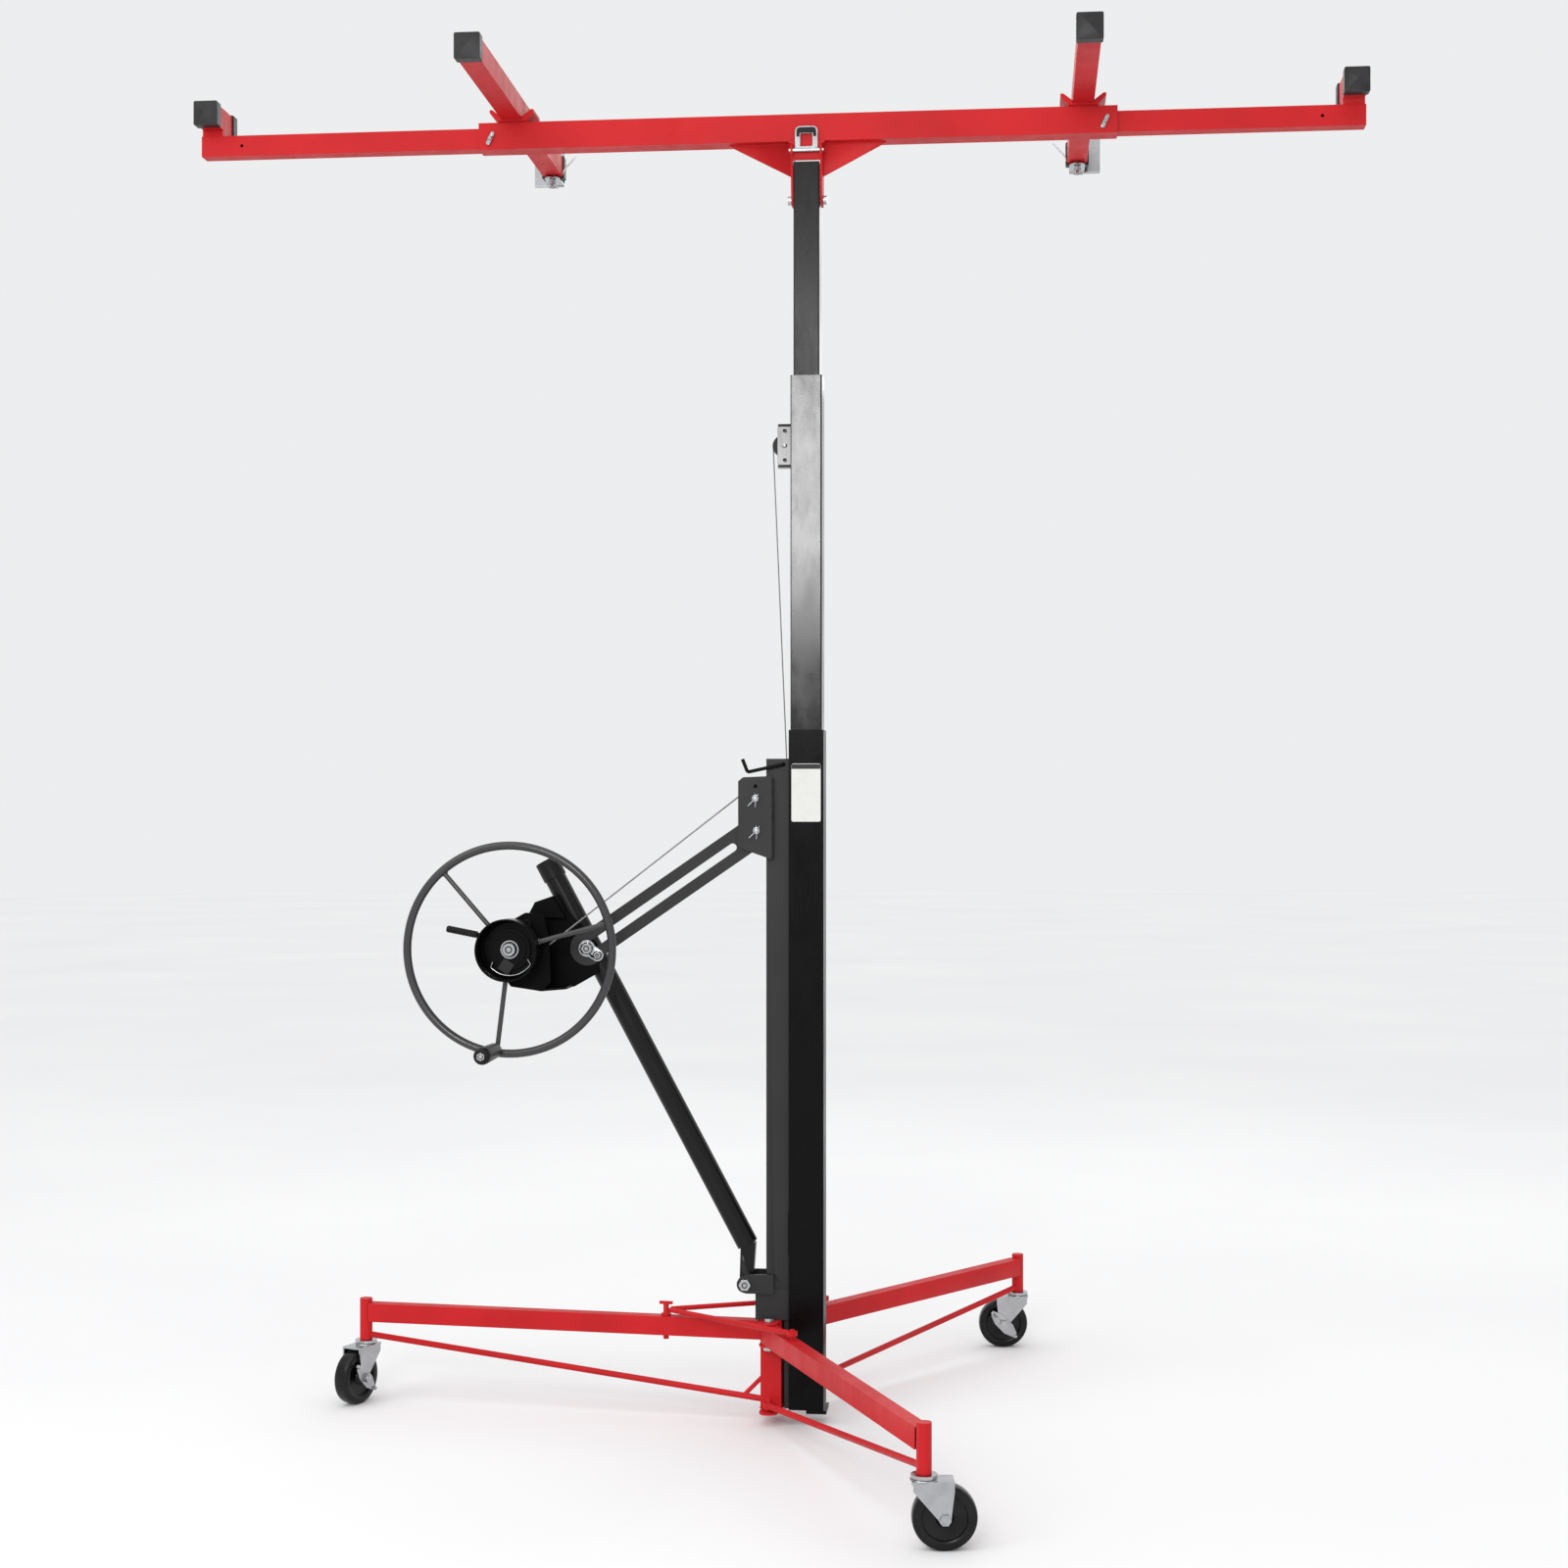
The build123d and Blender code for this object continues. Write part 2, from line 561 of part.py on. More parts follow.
def strut_tube():
    """A round tube whose foot is pressed flat and pinned in the clevis."""
    up = (Align.CENTER, Align.CENTER, Align.MIN)
    tube = Cylinder(STRUT_R, STRUT_LENGTH, align=up)
    tube -= Pos(0, 0, 12) * Cylinder(STRUT_R - STRUT_WALL, STRUT_LENGTH, align=up)
    tube = strut_plane(0) * tube
    foot = [(-121, 248), (-97, 248), (-92, 318), (-110, 330), (-119, 318)]
    lug = plate_xz(foot, (-11, 11)) + disc_y(CLEVIS_BOLT, (-23.6, 23.6), 13)
    return tube + lug - disc_y(CLEVIS_BOLT, (-25, 25), CLEVIS_BOLT_R + FIT)


def strut_cap():
    up = (Align.CENTER, Align.CENTER, Align.MIN)
    cap = Cylinder(STRUT_R + 2, 36, align=up)
    cap = fillet(cap.edges(), 2)
    cap -= Cylinder(STRUT_R, 18, align=up)
    return strut_plane(STRUT_LENGTH - 18) * cap


def winch_housing():
    """Rear plate on the strut, front plate over the drum, a floor web and a hood."""
    rear_outline = [(-575, 826), (-560, 795), (-525, 779), (-465, 771), (-418, 775), (-374, 800),
                    (-372, 848), (-400, 882), (-425, 904), (-480, 905), (-548, 890), (-573, 860)]
    front_outline = [(-536, 802), (-520, 779), (-465, 771), (-448, 788), (-452, 862), (-462, 908),
                     (-494, 910), (-536, 887)]
    hood_outline = [(-500, 901), (-486, 927), (-454, 938), (-432, 899)]
    rear = rounded_plate(rear_outline, REAR_PLATE_Y)
    front = rounded_plate(front_outline, FRONT_PLATE_Y) + disc_y(SHAFT, FRONT_PLATE_Y, 44)
    # the floor joins both plates left of the arm's end, and stops short of the arm's plane beyond it
    deep = plate_xz([(-520, 779), (-505, 777), (-505, 781), (-520, 783)], (FRONT_PLATE_Y[0], REAR_PLATE_Y[1]))
    shallow = plate_xz([(-505, 777), (-465, 771), (-420, 775), (-420, 779), (-465, 775), (-505, 781)],
                       (FRONT_PLATE_Y[0], ARM_PLATE_Y[0] - 3))
    hood = plate_xz(hood_outline, (-40, REAR_PLATE_Y[1]))
    body = rear + front + deep + shallow + hood
    body -= disc_y(SHAFT, (-100, 0), SHAFT_R + FIT)
    return body + disc_y(LEVER_PIVOT, (LEVER_Y[0] - 4, FRONT_PLATE_Y[0]), PIN_R)


def rounded_plate(outline, y):
    plate = plate_xz(outline, y)
    return fillet(plate.edges().filter_by(Axis.Y), 5)


def slotted_arm():
    """Flat bar with a long slot, pivoted on the bracket pin."""
    arm = stadium_xz(SLOT_PIN, ARM_PIN, ARM_HALF_WIDTH, ARM_PLATE_Y) + disc_y(SLOT_PIN, ARM_PLATE_Y, ARM_END_R)
    run = Vector(ARM_PIN[0] - SLOT_PIN[0], ARM_PIN[1] - SLOT_PIN[1])
    stop = Vector(*ARM_PIN) - run.normalized() * 53
    arm -= stadium_xz(SLOT_PIN, (stop.X, stop.Y), 7.2, (ARM_PLATE_Y[0] - 1, ARM_PLATE_Y[1] + 1))
    return arm - disc_y(ARM_PIN, (-40, 0), PIN_R + FIT)


def arm_retainer():
    """Pear-shaped keeper plate with its two bolts."""
    back = ARM_PLATE_Y[0] - 0.5
    plate_y = (back - 2.5, back)
    second = (SLOT_PIN[0] + 19, SLOT_PIN[1] - 12)
    plate = stadium_xz(SLOT_PIN, second, 11, plate_y) + disc_y(SLOT_PIN, plate_y, 15)
    bolts = hexagon(SLOT_PIN, (back - 8, back - 2.5), 17) + hexagon(second, (back - 6, back - 2.5), 11)
    return plate + bolts


def cable_drum():
    drum = disc_y(SHAFT, DRUM_Y, DRUM_CORE_R)
    for edge in (DRUM_Y[0] + 3, DRUM_Y[1]):
        drum += disc_y(SHAFT, (edge - 3, edge), DRUM_FLANGE_R)
    drum += disc_y(SHAFT, LEVER_Y, BRAKE_DISC_R)
    return drum + disc_y(SHAFT, (-118, -12), SHAFT_R)


def wheel_hub():
    cup = disc_y(SHAFT, CUP_Y, CUP_R) - disc_y(SHAFT, (CUP_Y[0] - 1, CUP_Y[1] - 3), CUP_R - 3)
    cup -= disc_y(SHAFT, (-160, -90), SHAFT_R)
    nut = hexagon(SHAFT, (-112, -101), 24) - disc_y(SHAFT, (-120, -90), SHAFT_R)
    return [cup, nut]


def hand_wheel():
    tyre = revolve(Pos(RIM_R, 0) * Rot(0, 0, 180) * Circle(RIM_TUBE_R), Axis.Y)
    rim = Pos(SHAFT[0], RIM_Y, SHAFT[1]) * tyre
    centre = Vector(SHAFT[0], RIM_Y, SHAFT[1])
    for angle in SPOKE_ANGLES:
        out = Vector(cos(radians(angle)), 0, sin(radians(angle)))
        rim += rod(centre + out * CUP_R, centre + out * RIM_R, 4.5)
    knob = knob_place()
    rim += disc_y(knob, (RIM_Y - 8, RIM_Y), 8)
    bolt = disc_y(knob, (KNOB_Y[0] - 5, RIM_Y - 8), PIN_R)
    return [rim, bolt + hexagon(knob, (KNOB_Y[0] - 6, KNOB_Y[0] - GAP), 13)]


def knob_place():
    angle = radians(KNOB_ANGLE)
    return SHAFT[0] + KNOB_R_OUT * cos(angle), SHAFT[1] + KNOB_R_OUT * sin(angle)


def spinner_knob():
    spot = knob_place()
    profile = [(PIN_R + FIT, KNOB_Y[1]), (11, KNOB_Y[1]), (13, KNOB_Y[1] - 20), (16, KNOB_Y[0] + 18),
               (15, KNOB_Y[0] + 3), (12, KNOB_Y[0]), (PIN_R + FIT, KNOB_Y[0])]
    return Pos(spot[0], 0, spot[1]) * revolve(Polygon(*profile, align=None), Axis.Y)


def brake_lever():
    """Flat lever bent at a knee, with a round grip beyond it."""
    arm = stadium_xz(LEVER_PIVOT, LEVER_KNEE, LEVER_HALF_WIDTH, LEVER_Y) + disc_y(LEVER_PIVOT, LEVER_Y, 9)
    arm += stadium_xz(LEVER_KNEE, LEVER_TIP, LEVER_HALF_WIDTH, LEVER_Y)
    arm -= disc_y(LEVER_PIVOT, (-100, -80), PIN_R + FIT)
    middle = sum(LEVER_Y) / 2
    knee, tip = Vector(LEVER_KNEE[0], middle, LEVER_KNEE[1]), Vector(LEVER_TIP[0], middle, LEVER_TIP[1])
    along = (tip - knee).normalized()
    grip = rod(knee + along * 4, tip + along * 8, GRIP_R)
    return [arm - grip, grip]


# ---- base
def base_place():
    return Pos(POST_X, 0, 0) * Rot(0, 0, BASE_TWIST)


def base_post():
    half = POST_SIDE / 2
    post = square_tube_z((-half, half), half, POST_Z, POST_WALL)
    solid_core = block((-half, half), (-half, half), (0, 300))
    for z in ((22, 26), (141.5, 145.5), (180.5, 184.5)):
        plate = extrude(Pos(0, 0, z[0]) * Rot(0, 0, 90) * SlotCenterToCenter(76, 34), z[1] - z[0])
        if z[0] > POST_Z[0]:
            for side in (-1, 1):
                plate -= disc_z(0, side * HINGE_OFFSET, (z[0] - 1, z[1] + 1), LEG_BOLT_R)
            plate -= solid_core
        post += plate
    for side in (-1, 1):
        post += disc_z(0, side * HINGE_OFFSET, (26, 50), LOWER_STUD_R)
    return base_place() * post


def socket(x):
    """Caster socket at a leg's end."""
    body = disc_z(x, 0, SOCKET_Z, SOCKET_R)
    return body - disc_z(x, 0, (SOCKET_Z[0] - 1, 166), STEM_R + FIT)


def left_leg():
    half = POST_SIDE / 2
    tube = rect_tube_x((-LEG_REACH + 8, -half), LEG_WIDTH / 2, LEG_Z, LEG_WALL)
    tube -= disc_z(-LOCK_PIN_REACH, 0, (LEG_Z[0] - 1, LEG_Z[1] + 1), LOCK_PIN_R + FIT)
    brace = rod((-LEG_REACH + 9, 0, 121), (-half + 2, 0, 38), 5.5)
    stay = rod((-half + 4, 0, 82), (-half - 34, 0, 43), 4)
    post_room = block((-half, half), (-half, half), POST_Z)
    return base_place() * (tube + brace + stay + socket(-LEG_REACH) - post_room)


def hinged_leg(side):
    """A leg that turns on its bolt, drawn along +X from the bolt and then placed."""
    tube = rect_tube_x((0, HINGED_LEG_LENGTH - 8), LEG_WIDTH / 2, LEG_Z, LEG_WALL)
    tongue = disc_z(0, 0, LEG_Z, LEG_WIDTH / 2) + block((0, 30), (-LEG_WIDTH / 2, LEG_WIDTH / 2), LEG_Z)
    eye = disc_z(0, 0, EYE_Z, 9)
    brace = rod((HINGED_LEG_LENGTH - 9, 0, 121), (6, 0, 36), 5.5)
    stud = disc_z(SPREADER_ON_LEG, 0, (LEG_Z[1], SPREADER_Z + 8), PIN_R)
    leg = tube + tongue + eye + brace + stud + socket(HINGED_LEG_LENGTH)
    leg -= disc_z(0, 0, (LEG_Z[0] - 1, LEG_Z[1] + 1), LEG_BOLT_R + FIT)
    leg -= disc_z(0, 0, (EYE_Z[0] - 4, EYE_Z[1] + 4), LOWER_STUD_R + FIT)
    return hinged_leg_place(side) * leg


def hinged_leg_place(side):
    return base_place() * Pos(0, side * HINGE_OFFSET, 0) * Rot(0, 0, side * LEG_SPLAY)


def spreader(side):
    """A stay from a hinged leg towards the lock pin on the fixed leg."""
    angle = radians(side * LEG_SPLAY)
    stud = Vector(cos(angle), sin(angle)) * SPREADER_ON_LEG + Vector(0, side * HINGE_OFFSET)
    pin = Vector(-LOCK_PIN_REACH, 0)
    way = (pin - stud).normalized()
    start, end = stud + way * 8, pin - way * SPREADER_SHORT
    z = SPREADER_Z + 1
    stay = rod((start.X, start.Y, z), (end.X, end.Y, z), SPREADER_R)
    stay += disc_z(stud.X, stud.Y, (z - 4, z + 4), 9)
    return base_place() * (stay - disc_z(stud.X, stud.Y, (170, 210), PIN_R + FIT))


def spreader_pin():
    pin = disc_z(-LOCK_PIN_REACH, 0, LOCK_PIN_Z, LOCK_PIN_R)
    collar = disc_z(-LOCK_PIN_REACH, 0, (LEG_Z[1] + GAP, LEG_Z[1] + 4), 9)
    top = LOCK_PIN_Z[1]
    handle = rod((-LOCK_PIN_REACH - 12, 0, top), (-LOCK_PIN_REACH + 12, 0, top), 3)
    return base_place() * (pin + collar + handle)


# ---- casters
def caster_place(name):
    if name == "left":
        end = base_place() * Pos(-LEG_REACH, 0, 0)
    else:
        side = -1 if name == "front" else 1
        end = hinged_leg_place(side) * Pos(HINGED_LEG_LENGTH, 0, 0)
    spot = end.position
    return Pos(spot.X, spot.Y, 0) * Rot(0, 0, CASTERS[name][0])


def caster_fork(name):
    hub = (TRAIL, WHEEL_R)
    body = disc_z(0, 0, (104, SOCKET_Z[0] - 5), 17) + disc_z(0, 0, (106.5, SOCKET_Z[0] - GAP), 20)
    body += disc_z(0, 0, (104, 160), STEM_R)
    body += block((-19, 44), (-FORK_IN - FORK_PLATE, FORK_IN + FORK_PLATE), (101.5, 104.5))
    side_outline = [(-17, 102), (44, 102), (44, 90), (39, 50), (21, 47), (-17, 90)]
    for side in (-1, 1):
        y = sorted((side * FORK_IN, side * (FORK_IN + FORK_PLATE)))
        body += plate_xz(side_outline, y) + disc_y(hub, y, 9.2)
    body -= disc_y(hub, (-40, 40), AXLE_R)
    face = FORK_IN + FORK_PLATE
    outside = face + (BRAKE_PLATE + 2 * GAP if CASTERS[name][1] else 0)
    axle = disc_y(hub, (-face - 7, outside + 7), AXLE_R)
    axle += hexagon(hub, (-face - 6, -face), 15) + hexagon(hub, (outside, outside + 6), 15)
    return [caster_place(name) * piece for piece in (body, axle)]


def caster_wheel(name):
    tread = (WHEEL_R, WHEEL_HALF)
    profile = [(AXLE_R + FIT, -16), (13, -16), (13, -9), (34, -9), (38, -tread[1]), (tread[0] - 3, -tread[1]),
               (tread[0], -tread[1] + 4), (tread[0], tread[1] - 4), (tread[0] - 3, tread[1]), (38, tread[1]),
               (34, 9), (13, 9), (13, 16), (AXLE_R + FIT, 16)]
    wheel = revolve(Polygon(*profile, align=None), Axis.Y)
    return caster_place(name) * Pos(TRAIL, 0, WHEEL_R) * wheel


def brake_pedal(name):
    """A lever on the axle, outside the fork, with a wing on each side to tread on."""
    low = FORK_IN + FORK_PLATE + GAP
    y = (low, low + BRAKE_PLATE)
    half = [(37, 3), (14, 12.5), (-14, 12.5), (-30, 6)]
    plate = plate_xz(half + [(-u, -v) for u, v in half], y)
    for side in (-1, 1):
        tip = sorted((side * 31, side * 36))
        plate += block(tip, (y[0], y[1] + 5), sorted((side * -2.5, side * 3)))
    body = Pos(TRAIL, 0, WHEEL_R) * Rot(0, -BRAKE_TILT, 0) * plate
    return caster_place(name) * (body - disc_y((TRAIL, WHEEL_R), (0, 40), AXLE_R + FIT))


def main():
    os.makedirs("parts", exist_ok=True)
    save("base_post", base_post())
    save("left_leg", left_leg())
    for name, side in (("front", -1), ("rear", 1)):
        save(f"{name}_leg", hinged_leg(side))
        save(f"{name}_spreader", spreader(side))
    save("spreader_pin", spreader_pin())
    save("outer_mast_tube", outer_mast_tube())
    save("mast_upright", mast_upright())
    save("winch_bracket", *winch_bracket())
    save("frame_fasteners", *frame_fasteners())
    save("lock_rod", lock_rod())
    save("lift_cable_span", lift_cable_span())
    save("lift_cable_drop", lift_cable_drop())
    save("stage_cable_span", stage_cable_span())
    save("stage_cable_drop", stage_cable_drop())
    save("bracket_pulley", pulley(PULLEY_PIN, 21.5, 25.8, 5, PIN_R + FIT))
    save("middle_mast_tube", middle_mast_tube())
    save("middle_tube_glides", *middle_tube_glides())
    save("stage_pulley_bracket", *stage_pulley_bracket())
    save("stage_pulley", pulley(STAGE_PULLEY, 16.9, 19.4, 4.4, PIN_R + FIT))
    save("inner_mast_tube", inner_mast_tube())
    save("inner_tube_glides", *inner_tube_glides())
    save("tilt_bolt", tilt_bolt())
    save("crossbar", crossbar())
    save("centre_bracket", centre_bracket())
    save("crossbar_lock_pins", *crossbar_lock_pins())
    save("tilt_latch", tilt_latch())
    for side in ("left", "right"):
        save(f"extension_{side}", extension(side))
        save(f"extension_caps_{side}", *extension_caps(side))
        save(f"cross_arm_{side}", cross_arm(side))
        save(f"cross_arm_caps_{side}", *cross_arm_caps(side))
        save(f"arm_saddle_{side}", arm_saddle(side))
        save(f"arm_pivot_{side}", *arm_pivot(side))
        save(f"panel_hook_{side}", panel_hook(side))
    save("strut_tube", strut_tube())
    save("strut_cap", strut_cap())
    save("winch_housing", winch_housing())
    save("slotted_arm", slotted_arm())
    save("arm_retainer", arm_retainer())
    save("cable_drum", cable_drum())
    save("wheel_hub", *wheel_hub())
    save("hand_wheel", *hand_wheel())
    save("spinner_knob", spinner_knob())
    save("brake_lever", *brake_lever())
    for name, (_, has_brake) in CASTERS.items():
        save(f"caster_fork_{name}", *caster_fork(name))
        save(f"caster_wheel_{name}", caster_wheel(name))
        if has_brake:
            save(f"brake_pedal_{name}", brake_pedal(name))


main()
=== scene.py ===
import json
import random
from math import asin, atan2, cos, degrees, hypot, pi, radians, sin, tau

import bmesh
import bpy
from mathutils import Matrix, Vector


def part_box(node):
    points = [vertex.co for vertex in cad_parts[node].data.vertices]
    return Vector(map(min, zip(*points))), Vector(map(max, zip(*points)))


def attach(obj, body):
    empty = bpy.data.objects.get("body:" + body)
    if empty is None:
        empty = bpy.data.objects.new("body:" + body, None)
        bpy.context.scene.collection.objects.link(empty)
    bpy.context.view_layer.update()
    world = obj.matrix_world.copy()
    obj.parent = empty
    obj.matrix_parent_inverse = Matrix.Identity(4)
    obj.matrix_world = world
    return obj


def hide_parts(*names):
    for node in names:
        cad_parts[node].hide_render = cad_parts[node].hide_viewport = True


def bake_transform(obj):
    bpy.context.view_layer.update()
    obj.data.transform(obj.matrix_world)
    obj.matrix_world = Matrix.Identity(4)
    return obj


# Drywall lift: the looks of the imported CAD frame. Metres, +X along the crossbar,
# +Y away from the hand wheel, +Z up.

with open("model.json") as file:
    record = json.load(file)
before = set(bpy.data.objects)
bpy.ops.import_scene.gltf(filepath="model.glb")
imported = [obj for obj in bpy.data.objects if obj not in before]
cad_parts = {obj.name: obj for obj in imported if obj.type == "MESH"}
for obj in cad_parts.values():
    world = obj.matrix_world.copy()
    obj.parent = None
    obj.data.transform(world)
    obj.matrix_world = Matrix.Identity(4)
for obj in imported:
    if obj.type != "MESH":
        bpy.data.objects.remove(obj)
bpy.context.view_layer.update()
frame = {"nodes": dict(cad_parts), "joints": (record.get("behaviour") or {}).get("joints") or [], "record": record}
MM = 0.001
NODES = frame["nodes"]
JOINTS = {joint["name"]: joint for joint in frame["joints"]}
SLOTS = {part["node"]: part["material_slot"] for part in frame["record"]["subparts"]}
BODIES = {node: body for body, nodes in frame["record"]["behaviour"]["bodies"].items() for node in nodes}
UP = Vector((0, 0, 1))
ALONG_X = Vector((1, 0, 0))
ALONG_Y = Vector((0, 1, 0))
CORNERS = ((-1, -1), (1, -1), (1, 1), (-1, 1))
SIDES = ("left", "right")
random.seed(11)


def pivot(joint):
    return Vector(JOINTS[joint]["pos_m"])


def axis(joint):
    return Vector(JOINTS[joint]["axis"])


# ---- materials
class Nodes:
    """A short way to write a node tree."""

    def __init__(self, name):
        self.material = bpy.data.materials.new(name)
        self.material.use_nodes = True
        self.tree = self.material.node_tree
        self.shader = self.tree.nodes["Principled BSDF"]
        self.place = self.add("ShaderNodeTexCoord").outputs["Object"]

    def add(self, kind, **values):
        node = self.tree.nodes.new(kind)
        for key, value in values.items():
            setattr(node, key, value)
        return node

    def link(self, source, target):
        self.tree.links.new(source, target)

    def noise(self, scale, detail=3.0, rough=0.5, stretch=None):
        place = self.place
        if stretch:
            mapping = self.add("ShaderNodeMapping")
            mapping.inputs["Scale"].default_value = stretch
            self.link(place, mapping.inputs["Vector"])
            place = mapping.outputs["Vector"]
        noise = self.add("ShaderNodeTexNoise")
        noise.inputs["Scale"].default_value = scale
        noise.inputs["Detail"].default_value = detail
        noise.inputs["Roughness"].default_value = rough
        self.link(place, noise.inputs["Vector"])
        return noise.outputs["Fac"]

    def ramp(self, source, low, high):
        """Source mapped to 0..1 between two of its values."""
        ramp = self.add("ShaderNodeMapRange")
        ramp.inputs["From Min"].default_value = low
        ramp.inputs["From Max"].default_value = high
        self.link(source, ramp.inputs["Value"])
        return ramp.outputs["Result"]

    def between(self, source, low, high):
        """Source in 0..1 mapped to a range of values."""
        ramp = self.add("ShaderNodeMapRange")
        ramp.inputs["To Min"].default_value = low
        ramp.inputs["To Max"].default_value = high
        self.link(source, ramp.inputs["Value"])
        return ramp.outputs["Result"]

    def times(self, first, second):
        node = self.add("ShaderNodeMath", operation="MULTIPLY")
        self.link(first, node.inputs[0])
        if isinstance(second, float):
            node.inputs[1].default_value = second
        else:
            self.link(second, node.inputs[1])
        return node.outputs[0]

    def mix(self, factor, first, second):
        node = self.add("ShaderNodeMix", data_type="RGBA")
        self.link(factor, node.inputs[0])
        for value, socket in ((first, node.inputs[6]), (second, node.inputs[7])):
            if isinstance(value, tuple):
                socket.default_value = (*value, 1)
            else:
                self.link(value, socket)
        return node.outputs[2]

    def edges(self, radius):
        """A mask that is 1 along convex and concave edges."""
        bevel = self.add("ShaderNodeBevel", samples=6)
        bevel.inputs["Radius"].default_value = radius
        plain = self.add("ShaderNodeNewGeometry").outputs["Normal"]
        dot = self.add("ShaderNodeVectorMath", operation="DOT_PRODUCT")
        self.link(bevel.outputs["Normal"], dot.inputs[0])
        self.link(plain, dot.inputs[1])
        return self.ramp(dot.outputs["Value"], 0.995, 0.86)

    def bump(self, height, strength, distance):
        node = self.add("ShaderNodeBump")
        node.inputs["Strength"].default_value = strength
        node.inputs["Distance"].default_value = distance
        self.link(height, node.inputs["Height"])
        self.link(node.outputs["Normal"], self.shader.inputs["Normal"])

    def set(self, **values):
        for key, value in values.items():
            self.shader.inputs[key.replace("_", " ")].default_value = value


def paint(name, colour, worn, roughness, specular, wear=0.35):
    """Powder coat: orange peel, faint dust and handling marks, thin paint on the edges."""
    m = Nodes(name)
    cloud = m.ramp(m.noise(7.0, 4.0), 0.35, 0.7)
    shade = tuple(channel * 0.82 for channel in colour)
    base = m.mix(cloud, colour, shade)
    specks = m.ramp(m.noise(160.0, 5.0, 0.7), 0.56, 0.7)
    rubbed = m.times(m.times(m.edges(1.6 * MM), specks), wear)
    m.link(m.mix(rubbed, base, worn), m.shader.inputs["Base Color"])
    smear = m.ramp(m.noise(24.0, 6.0, 0.65, (1, 1, 0.35)), 0.3, 0.75)
    m.link(m.between(smear, roughness - 0.07, roughness + 0.12), m.shader.inputs["Roughness"])
    m.bump(m.noise(620.0, 2.0), 0.22, 0.35 * MM)
    m.set(Specular_IOR_Level=specular)
    return m.material


def plated(name, colour, roughness, scale=90.0):
    """Bright zinc or nickel plate: cloudy tarnish, fine drawing lines."""
    m = Nodes(name)
    cloud = m.ramp(m.noise(26.0, 5.0, 0.6), 0.3, 0.75)
    dull = tuple(channel * 0.72 for channel in colour)
    stained = m.mix(cloud, colour, dull)
    grime = m.times(m.edges(1.2 * MM), m.ramp(m.noise(210.0), 0.5, 0.7))
    m.link(m.mix(grime, stained, (0.32, 0.31, 0.3)), m.shader.inputs["Base Color"])
    lines = m.noise(scale, 4.0, 0.7, (1, 1, 7))
    m.link(m.between(lines, roughness - 0.08, roughness + 0.16), m.shader.inputs["Roughness"])
    m.bump(lines, 0.12, 0.12 * MM)
    m.set(Metallic=1.0)
    return m.material


def moulded(name, colour, roughness, specular, grain=1500.0):
    """Moulded plastic or rubber: fine grain, whitish edges that are partly scuff wear and partly painted sheen."""
    m = Nodes(name)
    cloud = m.ramp(m.noise(30.0, 4.0), 0.35, 0.7)
    light = tuple(channel * 1.7 + 0.004 for channel in colour)
    base = m.mix(cloud, colour, light)
    # whitish edges: scuff wear, and a painted sheen along the edges
    scuffs_and_sheen = m.times(m.times(m.edges(1.5 * MM), m.ramp(m.noise(240.0, 5.0), 0.5, 0.66)), 0.4)
    m.link(m.mix(scuffs_and_sheen, base, (0.11, 0.11, 0.11)), m.shader.inputs["Base Color"])
    smear = m.noise(60.0, 5.0)
    m.link(m.between(smear, roughness - 0.1, roughness + 0.14), m.shader.inputs["Roughness"])
    m.bump(m.noise(grain, 2.0), 0.35, 0.22 * MM)
    m.set(Specular_IOR_Level=specular)
    return m.material


def paper(name):
    """A blank pale sticker with a slightly soiled edge."""
    m = Nodes(name)
    soil = m.times(m.ramp(m.noise(55.0, 6.0, 0.7), 0.45, 0.8), 0.5)
    m.link(m.mix(soil, (0.62, 0.62, 0.6), (0.5, 0.49, 0.47)), m.shader.inputs["Base Color"])
    m.link(m.between(m.noise(90.0), 0.4, 0.6), m.shader.inputs["Roughness"])
    m.bump(m.noise(900.0), 0.12, 0.1 * MM)
    return m.material


def floor_paint(name):
    """A matt, nearly white studio floor."""
    m = Nodes(name)
    cloud = m.ramp(m.noise(0.7, 4.0), 0.3, 0.75)
    m.link(m.mix(cloud, (0.8, 0.8, 0.8), (0.76, 0.76, 0.765)), m.shader.inputs["Base Color"])
    m.link(m.between(m.noise(3.0), 0.7, 0.9), m.shader.inputs["Roughness"])
    m.set(Specular_IOR_Level=0.1)
    return m.material


RED = paint("red_powder_coat", (0.52, 0.013, 0.016), (0.3, 0.04, 0.04), 0.44, 0.15, 0.3)
BLACK = paint("black_powder_coat", (0.002, 0.002, 0.0022), (0.06, 0.06, 0.06), 0.26, 0.1, 0.3)
GLOSS = paint("gloss_black_enamel", (0.003, 0.003, 0.0033), (0.07, 0.07, 0.07), 0.14, 0.5, 0.25)
SATIN = paint("satin_black_enamel", (0.006, 0.006, 0.0064), (0.08, 0.08, 0.08), 0.22, 0.2, 0.3)
MATT = paint("matt_black_enamel", (0.0015, 0.0015, 0.0016), (0.05, 0.05, 0.05), 0.42, 0.06, 0.25)
CHARCOAL = paint("charcoal_powder_coat", (0.026, 0.026, 0.027), (0.12, 0.12, 0.12), 0.38, 0.2, 0.3)
GREY = paint("grey_enamel", (0.032, 0.032, 0.034), (0.2, 0.2, 0.2), 0.2, 0.5, 0.35)
PLASTIC = moulded("black_moulded_plastic", (0.01, 0.01, 0.011), 0.42, 0.3)
GRIP = moulded("black_grip_plastic", (0.003, 0.003, 0.0033), 0.4, 0.2)
ZINC = plated("bright_zinc", (0.5, 0.505, 0.52), 0.17)
ROPE = plated("galvanised_rope", (0.3, 0.3, 0.31), 0.5, 400.0)
TYRE = moulded("hard_black_tyre", (0.0035, 0.0035, 0.0038), 0.22, 0.22, 700.0)
LABEL = paper("blank_sticker")
